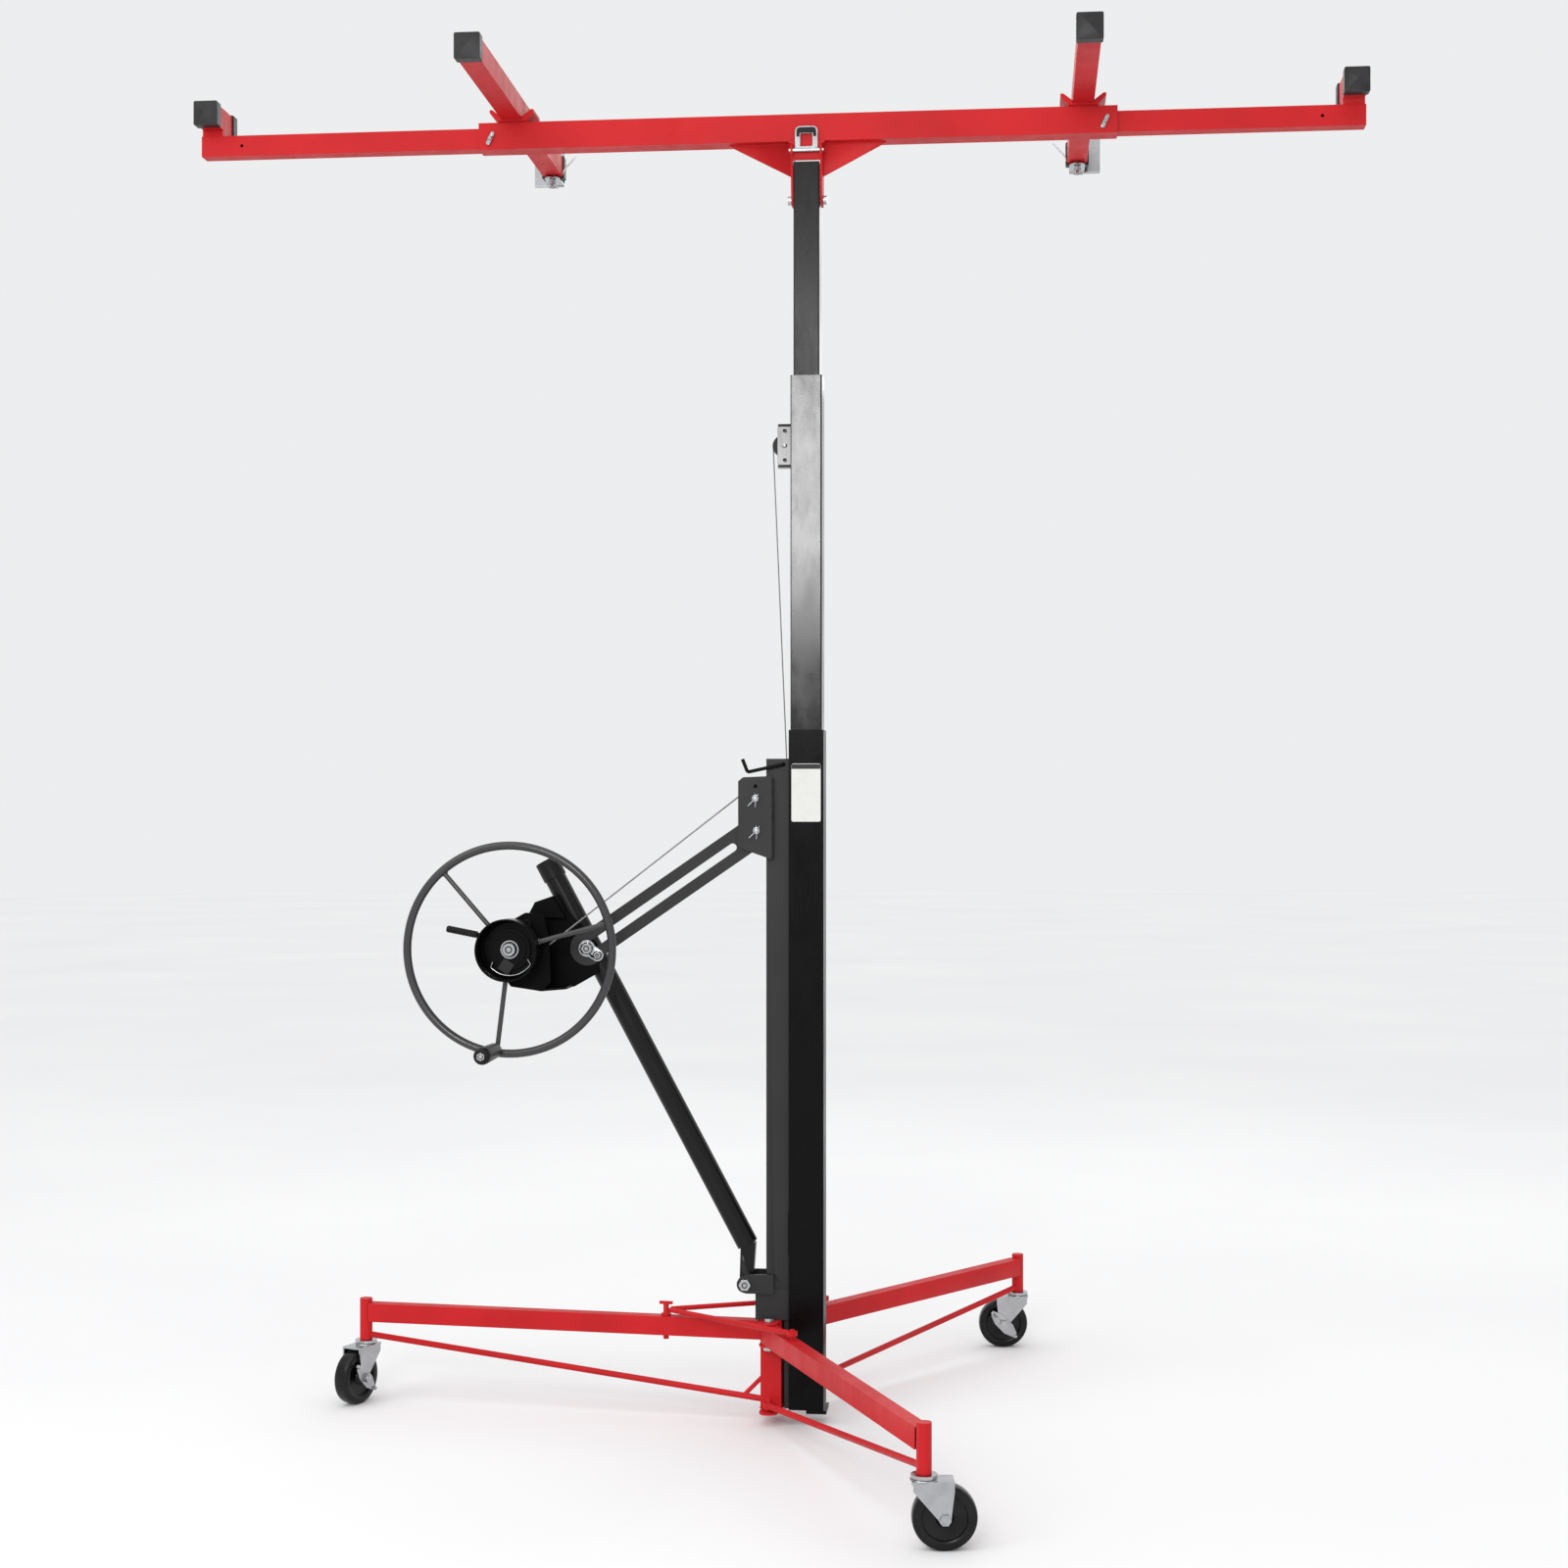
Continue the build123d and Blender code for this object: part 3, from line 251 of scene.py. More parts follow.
FINISH = {"red_paint": RED, "black_paint": BLACK, "grey_enamel": GREY, "black_plastic": PLASTIC,
          "zinc": ZINC, "steel_cable": ROPE, "wheel_plastic": TYRE, "pedal_steel": ZINC}
OWN_FINISH = {"mast_upright": CHARCOAL, "winch_bracket": CHARCOAL, "slotted_arm": CHARCOAL,
              "strut_tube": SATIN, "middle_mast_tube": GLOSS, "inner_mast_tube": SATIN,
              "stage_pulley_bracket": GLOSS, "winch_housing": MATT, "strut_cap": GRIP}


# ---- mesh helpers
THREAD_PITCH = 1.0 * MM
HEX_CHAMFER = ((0, 1.03), (0.1, 1.16), (0.86, 1.16), (1, 1.0))    # share of the height, reach of a corner
WELD_STEP = 0.9 * MM
WELD_SWAY = (0.93, 1.07)
RIPPLE_DEPTH, RIPPLE_TURN = 0.14, 0.9
# the thickness of the thin dark rings of painted shade
SHADE_RING_THICK = 0.3 * MM


def piece(name, bm, material, body, smooth=35, stands_for=()):
    """A mesh object from bm that rides on a body."""
    mesh = bpy.data.meshes.new(name)
    bmesh.ops.recalc_face_normals(bm, faces=bm.faces)
    bm.to_mesh(mesh)
    bm.free()
    mesh.materials.append(material)
    for polygon in mesh.polygons:
        polygon.use_smooth = True
    mesh.set_sharp_from_angle(angle=radians(smooth))
    obj = bpy.data.objects.new(name, mesh)
    bpy.context.scene.collection.objects.link(obj)
    if body:
        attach(obj, body)
    if stands_for:
        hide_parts(*stands_for)
    return obj


def frame_at(direction, near=UP):
    """Two unit vectors square to a direction."""
    forward = direction.normalized()
    if abs(forward.dot(near)) > 0.95:
        near = ALONG_X
    side = forward.cross(near).normalized()
    return side, side.cross(forward).normalized()


def at_y(point, y):
    """The point, moved to a given y."""
    return Vector((point.x, y, point.z))


def mm(pairs):
    """Pairs of millimetres in metres."""
    return [(u * MM, v * MM) for u, v in pairs]


def mirrored(profile):
    """The other half of a profile that is the same on both sides of its centre."""
    return [(radius, -along) for radius, along in reversed(profile)]


def rectangle(left, right, low, high):
    return [(left, low), (right, low), (right, high), (left, high)]


def circle(centre, side, other, radius, steps):
    """Points round a circle in the plane of two unit vectors."""
    turns = [tau * k / steps for k in range(steps)]
    return [centre + (side * cos(turn) + other * sin(turn)) * radius for turn in turns]


def skin(bm, rings, closed=False):
    """Faces from each ring of vertices to the next. A ring may be one vertex."""
    pairs = list(zip(rings, rings[1:])) + ([(rings[-1], rings[0])] if closed else [])
    for first, second in pairs:
        for k in range(max(len(first), len(second))):
            m = k + 1
            corners = (first[k % len(first)], first[m % len(first)],
                       second[m % len(second)], second[k % len(second)])
            unique = list(dict.fromkeys(corners))
            if len(unique) > 2:
                bm.faces.new(unique)


def tube(bm, points, radius, sides=12, closed=False, ripple=None):
    """Sweep a circle along points. ripple(i) scales the radius at point i."""
    count = len(points)
    rings = []
    side = None
    for i, point in enumerate(points):
        before = points[i - 1] if i or closed else point
        after = points[(i + 1) % count] if i < count - 1 or closed else point
        forward = (after - before).normalized()
        if side is None:
            side = frame_at(forward)[0]
        side = (side - forward * side.dot(forward)).normalized()
        scale = radius * (ripple(i) if ripple else 1)
        ring = circle(point, side, forward.cross(side), scale, sides)
        rings.append([bm.verts.new(spot) for spot in ring])
    skin(bm, rings, closed)
    if not closed:
        bm.faces.new(rings[0])
        bm.faces.new(rings[-1])


def lathe(bm, centre, direction, profile, sides=48, closed=False):
    """Revolve (radius, distance along direction) points about a line through centre."""
    forward = direction.normalized()
    side, other = frame_at(forward)
    rings = []
    for radius, along in profile:
        spot = centre + forward * along
        ring = circle(spot, side, other, radius, sides) if radius > 1e-7 else [spot]
        rings.append([bm.verts.new(point) for point in ring])
    skin(bm, rings, closed)


def washer(bm, centre, direction, inner, outer, thick):
    """A flat ring with its outer corners broken."""
    soft = min(thick * 0.3, 0.4 * MM)
    profile = [(inner, 0), (outer - soft, 0), (outer, soft), (outer, thick - soft), (outer - soft, thick),
               (inner, thick)]
    lathe(bm, centre, direction, profile, 40, True)


def hexagon(bm, centre, direction, across, thick, turn=0.0):
    """A hexagon nut or head with chamfered corners."""
    forward = direction.normalized()
    side, other = frame_at(forward)
    sides, half = 48, across / 2
    rings = []
    for along, limit in HEX_CHAMFER:
        ring = []
        for k in range(sides):
            angle = tau * k / sides
            in_flat = (angle + pi / 6) % (pi / 3) - pi / 6
            radius = min(half / cos(in_flat), half * limit)
            way = side * cos(angle + turn) + other * sin(angle + turn)
            ring.append(bm.verts.new(centre + forward * thick * along + way * radius))
        rings.append(ring)
    skin(bm, rings)
    bm.faces.new(rings[0])
    bm.faces.new(rings[-1])


def screw_end(bm, centre, direction, radius, length):
    """A threaded bolt end: rings of thread and a chamfer."""
    root, chamfer = radius * 0.86, 0.4 * MM
    turns = max(3, int(length / THREAD_PITCH))
    profile = [(0, 0)]
    for i in range(turns):
        step = length * i / turns
        profile += [(root, step), (radius, step + length / turns * 0.5)]
    profile += [(root, length), (radius * 0.7, length + chamfer), (0, length + chamfer)]
    lathe(bm, centre, direction, profile, 28)


def helix(centre, direction, radius, length, turns, steps=18):
    forward = direction.normalized()
    side, other = frame_at(forward)
    count = int(turns * steps)
    path = []
    for i in range(count + 1):
        way = side * cos(tau * i / steps) + other * sin(tau * i / steps)
        path.append(centre + forward * length * i / count + way * radius)
    return path


def line(start, end, step):
    """Points about a step apart on a straight line, with both of its ends."""
    count = max(2, int((end - start).length / step))
    return [start.lerp(end, i / count) for i in range(count + 1)]


def laid(points, step):
    """A polyline with points about a step apart along it."""
    path = [spot for start, end in zip(points, points[1:]) for spot in line(start, end, step)[:-1]]
    return path + [points[-1]]


def rounded(points, radius, steps=6):
    """A polyline with its inner corners turned into curves."""
    path = [points[0]]
    for before, corner, after in zip(points, points[1:], points[2:]):
        first = corner + (before - corner).normalized() * radius
        last = corner + (after - corner).normalized() * radius
        for i in range(steps + 1):
            t = i / steps
            path.append(first.lerp(corner, t).lerp(corner.lerp(last, t), t))
    return path + [points[-1]]


def plate(bm, outline, origin, across, up, normal, thick):
    """A flat plate from an outline of (across, up) pairs."""
    low = [bm.verts.new(origin + across * u + up * v) for u, v in outline]
    high = [bm.verts.new(origin + across * u + up * v + normal * thick) for u, v in outline]
    bm.faces.new(low)
    bm.faces.new(high)
    skin(bm, [low, high])


def upright_plate(bm, outline, origin, thick):
    """A plate that faces the user, with its outline in X and Z."""
    plate(bm, outline, origin, ALONG_X, UP, ALONG_Y, thick)


def soften(obj, width, segments=2, angle=30):
    """Round the sharp edges of a piece."""
    bevel = obj.modifiers.new("edge", "BEVEL")
    bevel.width = width
    bevel.segments = segments
    bevel.limit_method = "ANGLE"
    bevel.angle_limit = radians(angle)
    bevel.harden_normals = True
    return obj


def painted_shade_ring(name, centre, direction, inner, outer, body):
    """A thin dark ring of painted shade, for the gap round a bolt's end and for the foot of a nut."""
    bm = bmesh.new()
    washer(bm, centre, direction, inner, outer, SHADE_RING_THICK)
    piece(name, bm, GRIP, body, 30)


def weld(name, path, radius, material, body):
    """A bead with the ripples that the torch leaves."""
    bm = bmesh.new()
    points = laid(path, WELD_STEP)
    ends = len(points)
    sway = [random.uniform(*WELD_SWAY) for _ in range(ends)]

    def ripple(i):
        near_end = min(1.0, 0.35 + min(i, ends - 1 - i) / 3.0)
        return near_end * sway[i] * (1 - RIPPLE_DEPTH + RIPPLE_DEPTH * abs(cos(i * RIPPLE_TURN)))

    tube(bm, points, radius, 8, ripple=ripple)
    return piece(name, bm, material, body, 60)


# ---- carried-over CAD nodes with real edges
LONG_EDGE = 90 * MM
SAME_PLACE = 0.004 * MM
SAME_PLANE = radians(0.4)
SHARP = radians(38)
SHORT_EDGE_WIDTH = 0.6 * MM


def convex_edges(bm, corner):
    """The edges that stick out at more than an angle."""
    for edge in bm.edges:
        if len(edge.link_faces) == 2 and edge.calc_face_angle_signed(0.0) > corner:
            yield edge


def refine(node, long_width, short_width):
    """The CAD node's shape, with rolled corners on its long edges and broken short edges."""
    bm = bmesh.new()
    bm.from_mesh(NODES[node].data)
    bmesh.ops.remove_doubles(bm, verts=bm.verts, dist=SAME_PLACE)
    bmesh.ops.dissolve_degenerate(bm, edges=bm.edges, dist=SAME_PLACE)
    bmesh.ops.dissolve_limit(bm, angle_limit=SAME_PLANE, verts=bm.verts, edges=bm.edges)
    bmesh.ops.recalc_face_normals(bm, faces=bm.faces)
    weight = bm.edges.layers.float.new("bevel_weight_edge")
    for edge in convex_edges(bm, SHARP):
        edge[weight] = 1.0 if edge.calc_length() > LONG_EDGE else short_width / long_width
    slot = SLOTS[node]
    finish = OWN_FINISH.get(node, FINISH[slot])
    obj = piece(f"{node}.detail", bm, finish, BODIES[node], 30, (node,))
    bevel = obj.modifiers.new("edge", "BEVEL")
    bevel.width = long_width
    bevel.segments = 3
    bevel.limit_method = "WEIGHT"
    bevel.harden_normals = True


# how wide the nodes' edges are rounded, in mm
SQUARE_TUBES = {"outer_mast_tube": 3.2, "mast_upright": 3.0, "middle_mast_tube": 3.0, "inner_mast_tube": 2.8,
                "left_leg": 2.6, "front_leg": 2.6, "rear_leg": 2.6, "crossbar": 3.0, "extension_left": 2.4,
                "extension_right": 2.4, "cross_arm_left": 2.6, "cross_arm_right": 2.6}
PLATES = {"base_post": 0.9, "winch_bracket": 0.8, "centre_bracket": 0.8, "tilt_latch": 0.7,
          "stage_pulley_bracket": 0.6, "winch_housing": 0.8, "slotted_arm": 0.8, "arm_retainer": 0.6,
          "strut_tube": 0.9, "strut_cap": 0.8, "arm_saddle_left": 0.6, "arm_saddle_right": 0.6,
          "spreader_pin": 0.5, "caster_fork_left": 0.6, "caster_fork_front": 0.6, "caster_fork_rear": 0.6,
          "brake_pedal_left": 0.5, "brake_pedal_rear": 0.5, "panel_hook_left": 0.6, "panel_hook_right": 0.6,
          "extension_caps_left": 1.0, "extension_caps_right": 1.0, "cross_arm_caps_left": 1.0,
          "cross_arm_caps_right": 1.0, "middle_tube_glides": 0.4, "inner_tube_glides": 0.4,
          "frame_fasteners": 0.5, "tilt_bolt": 0.5, "crossbar_lock_pins": 0.4, "front_spreader": 0.5,
          "rear_spreader": 0.5, "lock_rod": 0.5}
for node, width in SQUARE_TUBES.items():
    refine(node, width * MM, SHORT_EDGE_WIDTH)
for node, width in PLATES.items():
    refine(node, width * MM, width * MM)


# ---- cables of twisted strands
CORE, LAY, STRAND = 0.74, 0.66, 0.33    # radii of the rope's core, of its strands' helix and of a strand


def strands(name, path, radius, node, lay=19 * MM, count=6):
    """A rope of strands laid round a path, which stands for a CAD cable node."""
    bm = bmesh.new()
    tube(bm, path, radius * CORE, 8)
    lengths = [0.0]
    for first, second in zip(path, path[1:]):
        lengths.append(lengths[-1] + (second - first).length)
    for k in range(count):
        points = []
        side = frame_at(path[1] - path[0])[0]
        for i, point in enumerate(path):
            forward = (path[min(i + 1, len(path) - 1)] - path[max(i - 1, 0)]).normalized()
            side = (side - forward * side.dot(forward)).normalized()
            turn = tau * (k / count + lengths[i] / lay)
            way = side * cos(turn) + forward.cross(side) * sin(turn)
            points.append(point + way * radius * LAY)
        tube(bm, points, radius * STRAND, 6)
    return piece(name, bm, ROPE, None, 60, (node,))


def arc(centre, radius, start, end, steps=24):
    """Points in the XZ plane from one angle to another, in degrees."""
    turns = [radians(start + (end - start) * i / steps) for i in range(steps + 1)]
    return [centre + Vector((cos(turn), 0, sin(turn))) * radius for turn in turns]


ROPE_STEP = 1.6 * MM
LIFT_R, STAGE_R = 1.5 * MM, 1.15 * MM
LIFT_CAD_R, STAGE_CAD_R = 1.6 * MM, 1.2 * MM
LIFT_PITCH, STAGE_PITCH, DRUM_PITCH = 23.5 * MM, 18.5 * MM, 32.1 * MM
END_INSET = 0.5 * MM
shaft = pivot("hand_wheel_turn")
bracket_axle = pivot("bracket_pulley_turn")
stage_axle = pivot("stage_pulley_turn")
lift_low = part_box("lift_cable_drop")[0].z + END_INSET
stage_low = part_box("stage_cable_drop")[0].z + END_INSET
span_low, span_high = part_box("lift_cable_span")
stage_foot, stage_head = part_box("stage_cable_span")

# the lift cable goes under the drum and over the bracket's pulley
on_drum = Vector((span_low.x + LIFT_CAD_R, span_low.y + LIFT_CAD_R, span_low.z + LIFT_CAD_R))
on_pulley = Vector((span_high.x - LIFT_CAD_R, 0, span_high.z - LIFT_CAD_R))
run, climb = bracket_axle.x - shaft.x, bracket_axle.z - shaft.z
rise = degrees(atan2(climb, run) + asin((DRUM_PITCH + LIFT_PITCH) / hypot(run, climb)))
drop_side = bracket_axle + Vector((LIFT_PITCH, 0, 0))
drop_end = Vector((drop_side.x, 0, lift_low))
drop = laid(arc(bracket_axle, LIFT_PITCH, 90 + rise, 0) + [drop_end], ROPE_STEP)
rope = strands("lift_cable_run", laid([on_pulley, on_drum], ROPE_STEP), LIFT_R, "lift_cable_span")
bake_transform(rope)
rope = strands("lift_cable_fall", drop, LIFT_R, "lift_cable_drop")
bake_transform(rope)

# the stage cable goes from the upright's top over the stage pulley
stage_start = Vector((stage_head.x - STAGE_CAD_R, 0, stage_foot.z))
stage_end = Vector((stage_foot.x + STAGE_CAD_R, 0, stage_head.z - 0.3 * MM))
rope = strands("stage_cable_run", laid([stage_start, stage_end], ROPE_STEP), STAGE_R, "stage_cable_span")
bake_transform(rope)
fall_side = stage_axle + Vector((STAGE_PITCH, 0, 0))
fall_end = Vector((fall_side.x, 0, stage_low))
fall = laid(arc(stage_axle, STAGE_PITCH, 180, 0) + [fall_end], ROPE_STEP)
rope = strands("stage_cable_fall", fall, STAGE_R, "stage_cable_drop")
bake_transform(rope)


# ---- pulleys
PULLEY_BORE, PULLEY_HUB, GROOVE_DEPTH = 4.06, 9, 3.6


def grooved(node, centre):
    """A pulley with a hub, a thinner web and a rounded groove. Its profile is in mm."""
    low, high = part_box(node)
    flange, half = (high.z - low.z) / 2 / MM, (high.y - low.y) / 2 / MM
    groove = flange - GROOVE_DEPTH
    profile = [(PULLEY_BORE, -half), (PULLEY_HUB, -half), (PULLEY_HUB + 0.5, 0.8 - half),
               (flange - 5, 0.8 - half), (flange - 3, -half), (flange - 0.5, -half), (flange, 0.5 - half),
               (flange, 1.2 - half), (groove + 0.8, 2.2 - half), (groove, -1.2)]
    profile += mirrored(profile)
    bm = bmesh.new()
    lathe(bm, centre, ALONG_Y, mm(profile), 56, True)
    piece(f"{node}.detail", bm, PLASTIC, BODIES[node], 30, (node,))


grooved("bracket_pulley", bracket_axle)
grooved("stage_pulley", stage_axle)


# ---- winch wheel: rim, spokes with their welds, and the lug of the spinner knob
WHEEL = "hand_wheel_body"
RIM_STEPS = 160
RIM_TUBE, RIM_INSET = 7.4 * MM, 7.5 * MM
SPOKES = (131, 15, -97)
SPOKE_R, SPOKE_WELD_R = 4.4 * MM, 4.9 * MM
LUG_THICK = 8 * MM
knob = pivot("spinner_turn")
wheel_low, wheel_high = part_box("hand_wheel")
hub_low, hub_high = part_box("wheel_hub")
rim_y = wheel_high.y - RIM_INSET
rim_r = (wheel_high.x - wheel_low.x) / 2 - RIM_INSET
hub_r = (hub_high.x - hub_low.x) / 2
lug_y = rim_y - LUG_THICK


def on_wheel(angle, radius, y):
    return Vector((shaft.x + radius * cos(angle), y, shaft.z + radius * sin(angle)))


bm = bmesh.new()
tube(bm, [on_wheel(tau * i / RIM_STEPS, rim_r, rim_y) for i in range(RIM_STEPS)], RIM_TUBE, 20, True)
for spoke in SPOKES:
    turn = radians(spoke)
    inner, outer = on_wheel(turn, hub_r - 1.2 * MM, rim_y), on_wheel(turn, rim_r - 4 * MM, rim_y)
    tube(bm, line(inner, outer, 6 * MM), SPOKE_R, 16)
lathe(bm, at_y(knob, rim_y), -ALONG_Y, mm([(0, 0), (7.6, 0), (8, 1), (8, 7.4), (7.4, 8), (0, 8)]), 32)
piece("hand_wheel.detail", bm, GREY, WHEEL, 30, ("hand_wheel",))
for spoke in SPOKES:
    turn = radians(spoke)
    tangent = Vector((-sin(turn), 0, cos(turn)))
    for end, name in ((hub_r + 0.6 * MM, "hub"), (rim_r - RIM_TUBE - 0.2 * MM, "rim")):
        ring = circle(on_wheel(turn, end, rim_y), tangent, ALONG_Y, SPOKE_WELD_R, 28)
        weld(f"spoke_weld_{name}_{spoke % 360}", ring + [ring[0]], 1.5 * MM, GREY, WHEEL)

# the spinner knob, its bolt, and a washer and a nut at the rim
SPINNER_HEX = 13 * MM
shank = lug_y - wheel_low.y - 6 * MM
bm = bmesh.new()
lathe(bm, at_y(knob, lug_y), -ALONG_Y, [(0, 0), (4 * MM, 0), (4 * MM, shank), (0, shank)], 24)
hexagon(bm, at_y(knob, wheel_low.y + 5.5 * MM), -ALONG_Y, SPINNER_HEX, 4.5 * MM)
screw_end(bm, at_y(knob, wheel_low.y + 1.2 * MM), -ALONG_Y, 3.4 * MM, 0.7 * MM)
piece("spinner_bolt", bm, ZINC, WHEEL, 30)
# a dark ring of painted shade in the gap round the bolt's end
painted_shade_ring("spinner_bolt_gap_shade", at_y(knob, wheel_low.y + 1.05 * MM), -ALONG_Y, 3.3 * MM, 4.7 * MM, WHEEL)
knob_low, knob_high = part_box("spinner_knob")
long = (knob_high.y - knob_low.y) / MM
profile = [(4.1, 0), (9, 0), (11.6, 1.2), (13, 4), (13.6, 10), (14.6, 0.6 * long), (15.2, 0.88 * long),
           (14.8, long - 6), (13, long - 2), (10.6, long), (8.5, long), (8, long - 1.5), (4.1, long - 1.5)]
bm = bmesh.new()
lathe(bm, at_y(knob, knob_high.y), -ALONG_Y, mm(profile), 48, True)
piece("spinner_knob.detail", bm, GRIP, "spinner_body", 40, ("spinner_knob",))
bm = bmesh.new()
washer(bm, at_y(knob, lug_y), -ALONG_Y, 4.02 * MM, 10.4 * MM, 1.6 * MM)
hexagon(bm, at_y(knob, rim_y + 7.6 * MM), ALONG_Y, SPINNER_HEX, 5 * MM)
piece("spinner_washer", bm, ZINC, WHEEL, 30)

# the hub cup, open towards the user, with its floor discs, washer, nut, wire spring and square plate
CUP_BORE, CUP_WALL, CUP_FLOOR = 8.1, 2.6, 3.4
DISC, COLLAR, WASHER, NUT = 5 * MM, 1.6 * MM, 2 * MM, 8 * MM
cup, deep = hub_r / MM, (hub_high.y - hub_low.y) / MM
profile = [(CUP_BORE, deep), (cup - 4, deep), (cup - 1.2, deep - 1.2), (cup - 0.4, deep - 4), (cup - 0.4, 5),
           (cup, 3.6), (cup, 1), (cup - 1, 0), (cup - 2.4, 0), (cup - 3.2, 1), (cup - CUP_WALL - 0.4, 5),
           (cup - CUP_WALL - 0.6, deep - 8), (cup - 8, deep - CUP_FLOOR), (CUP_BORE, deep - CUP_FLOOR)]
bm = bmesh.new()
lathe(bm, at_y(shaft, hub_low.y), ALONG_Y, mm(profile), 80, True)
floor_y = hub_high.y - CUP_FLOOR * MM
collar_y = floor_y - DISC
washer_y = collar_y - COLLAR
nut_y = washer_y - WASHER
washer(bm, at_y(shaft, floor_y), -ALONG_Y, CUP_BORE * MM, 37 * MM, DISC)
washer(bm, at_y(shaft, collar_y), -ALONG_Y, CUP_BORE * MM, 30 * MM, COLLAR)
piece("wheel_hub.detail", bm, BLACK, WHEEL, 32, ("wheel_hub",))
bm = bmesh.new()
washer(bm, at_y(shaft, washer_y), -ALONG_Y, 8.05 * MM, 16.5 * MM, WASHER)
hexagon(bm, at_y(shaft, nut_y), -ALONG_Y, 22 * MM, NUT, 0.3)
piece("hub_nut", bm, ZINC, WHEEL, 30)
# painted shade: a dark ring at the nut's foot, and one in the gap on the nut's face
painted_shade_ring("hub_nut_foot_shade", at_y(shaft, nut_y + 0.1 * MM), -ALONG_Y, 10.6 * MM, 13.8 * MM, WHEEL)
painted_shade_ring("hub_nut_gap_shade", at_y(shaft, nut_y - NUT), -ALONG_Y, 4.4 * MM, 6.6 * MM, WHEEL)
WIRE_R, WIRE_REACH, HOOK_REACH = 1.4 * MM, 46 * MM, 37 * MM
WIRE_START, WIRE_SWEEP, WIRE_STEPS = 222, 104, 40
wire_y = floor_y - 9 * MM
turns = [radians(WIRE_START + WIRE_SWEEP * i / WIRE_STEPS) for i in range(WIRE_STEPS + 1)]
wire = [on_wheel(turn, WIRE_REACH, wire_y) for turn in turns]
hooks = [on_wheel(radians(angle), HOOK_REACH, wire_y) for angle in (216, 332)]
bm = bmesh.new()
tube(bm, [hooks[0]] + wire + [hooks[1]], WIRE_R, 10)
piece("hub_wire_spring", bm, ZINC, WHEEL, 40)
PLATE_SIDE, PLATE_TURN = 22 * MM, radians(-34)
half = PLATE_SIDE / 2
across = Vector((cos(PLATE_TURN), 0, sin(PLATE_TURN)))
upward = Vector((-sin(PLATE_TURN), 0, cos(PLATE_TURN)))
plate_spot = on_wheel(radians(258), 31 * MM, floor_y - 8.4 * MM)
bm = bmesh.new()
plate(bm, rectangle(-half, half, -half, half), plate_spot, across, upward, ALONG_Y, 1.8 * MM)
soften(piece("hub_spring_plate", bm, CHARCOAL, WHEEL, 30), 0.5 * MM)

# the drum and its brake disc as one profile in mm, from the back to the front, and the wound cable
SHAFT_R, DRUM_CORE, DRUM_FLANGE, DISC_R = 7.96, 30, 50, 28
BACK, FRONT = -34, -78
DISC_BACK, DISC_FRONT = -88, -94
drum_low, drum_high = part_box("cable_drum")
rear_end, front_end = drum_high.y / MM, drum_low.y / MM
profile = [(0, rear_end - 0.2), (7.4, rear_end - 0.2), (SHAFT_R, rear_end - 1.4), (SHAFT_R, BACK),
           (DRUM_FLANGE - 1, BACK), (DRUM_FLANGE, BACK - 0.8), (DRUM_FLANGE, BACK - 2.2),
           (DRUM_FLANGE - 1, BACK - 3), (DRUM_CORE, BACK - 3), (DRUM_CORE, FRONT + 3),
           (DRUM_FLANGE - 1, FRONT + 3), (DRUM_FLANGE, FRONT + 2.2), (DRUM_FLANGE, FRONT + 0.8),
           (DRUM_FLANGE - 1, FRONT), (SHAFT_R, FRONT), (SHAFT_R, DISC_BACK), (DISC_R - 0.6, DISC_BACK),
           (DISC_R, DISC_BACK - 0.6), (DISC_R, DISC_FRONT + 0.6), (DISC_R - 0.6, DISC_FRONT),
           (SHAFT_R, DISC_FRONT), (SHAFT_R, front_end + 1.4), (7.2, front_end + 0.2), (0, front_end + 0.2)]
bm = bmesh.new()
lathe(bm, at_y(shaft, 0), ALONG_Y, mm(profile), 64)
piece("cable_drum.detail", bm, BLACK, WHEEL, 30, ("cable_drum",))
WOUND_Y, WOUND_R, WOUND_LONG, WOUND_TURNS = -73 * MM, 30.9 * MM, 34 * MM, 10
bm = bmesh.new()
tube(bm, helix(at_y(shaft, WOUND_Y), ALONG_Y, WOUND_R, WOUND_LONG, WOUND_TURNS, 40), LIFT_R, 8)
piece("wound_cable", bm, ROPE, WHEEL, 60)

# brake lever: flat bar with an eye, bent at a knee, and a ribbed grip beyond it
EYE_R, EYE_END, NECK_HALF, KNEE_HALF, TIP_HALF = 9 * MM, 10 * MM, 4.4 * MM, 4.3 * MM, 4.2 * MM
EYE_TO_KNEE, KNEE_TO_TIP = Vector((-85 * MM, 0, -20 * MM)), Vector((-52 * MM, 0, 10 * MM))
eye = pivot("brake_lever_press")
knee = eye + EYE_TO_KNEE
grip_way = KNEE_TO_TIP.normalized()
way = (knee - eye).normalized()
across = way.cross(ALONG_Y).normalized()
reach = (knee - eye).length
outline = [(reach, KNEE_HALF), (EYE_END, NECK_HALF)]
outline += [(EYE_R * cos(radians(a)), EYE_R * sin(radians(a))) for a in range(40, 321, 20)]
outline += [(EYE_END, -NECK_HALF), (reach, -KNEE_HALF)]
for side in (-1, 1):
    spot = knee + grip_way * 8 * MM + grip_way.cross(ALONG_Y).normalized() * side * TIP_HALF - eye
    outline.append((spot.dot(way), spot.dot(across)))
bm = bmesh.new()
plate(bm, outline, eye - ALONG_Y * 3 * MM, way, across, ALONG_Y, 5.6 * MM)
lever = piece("brake_lever.detail", bm, BLACK, "brake_lever_body", 30, ("brake_lever",))
soften(lever, 0.8 * MM)
GRIP_LONG, GRIP_RIBS = 56.8, 8
profile = [(0, 0), (5.4, 0), (6.2, 0.8)]
for i in range(GRIP_RIBS):
    start = 3 + (GRIP_LONG - 8) * i / GRIP_RIBS
    profile += [(6.3, start), (5.6, start + 1.2), (6.3, start + 2.4)]
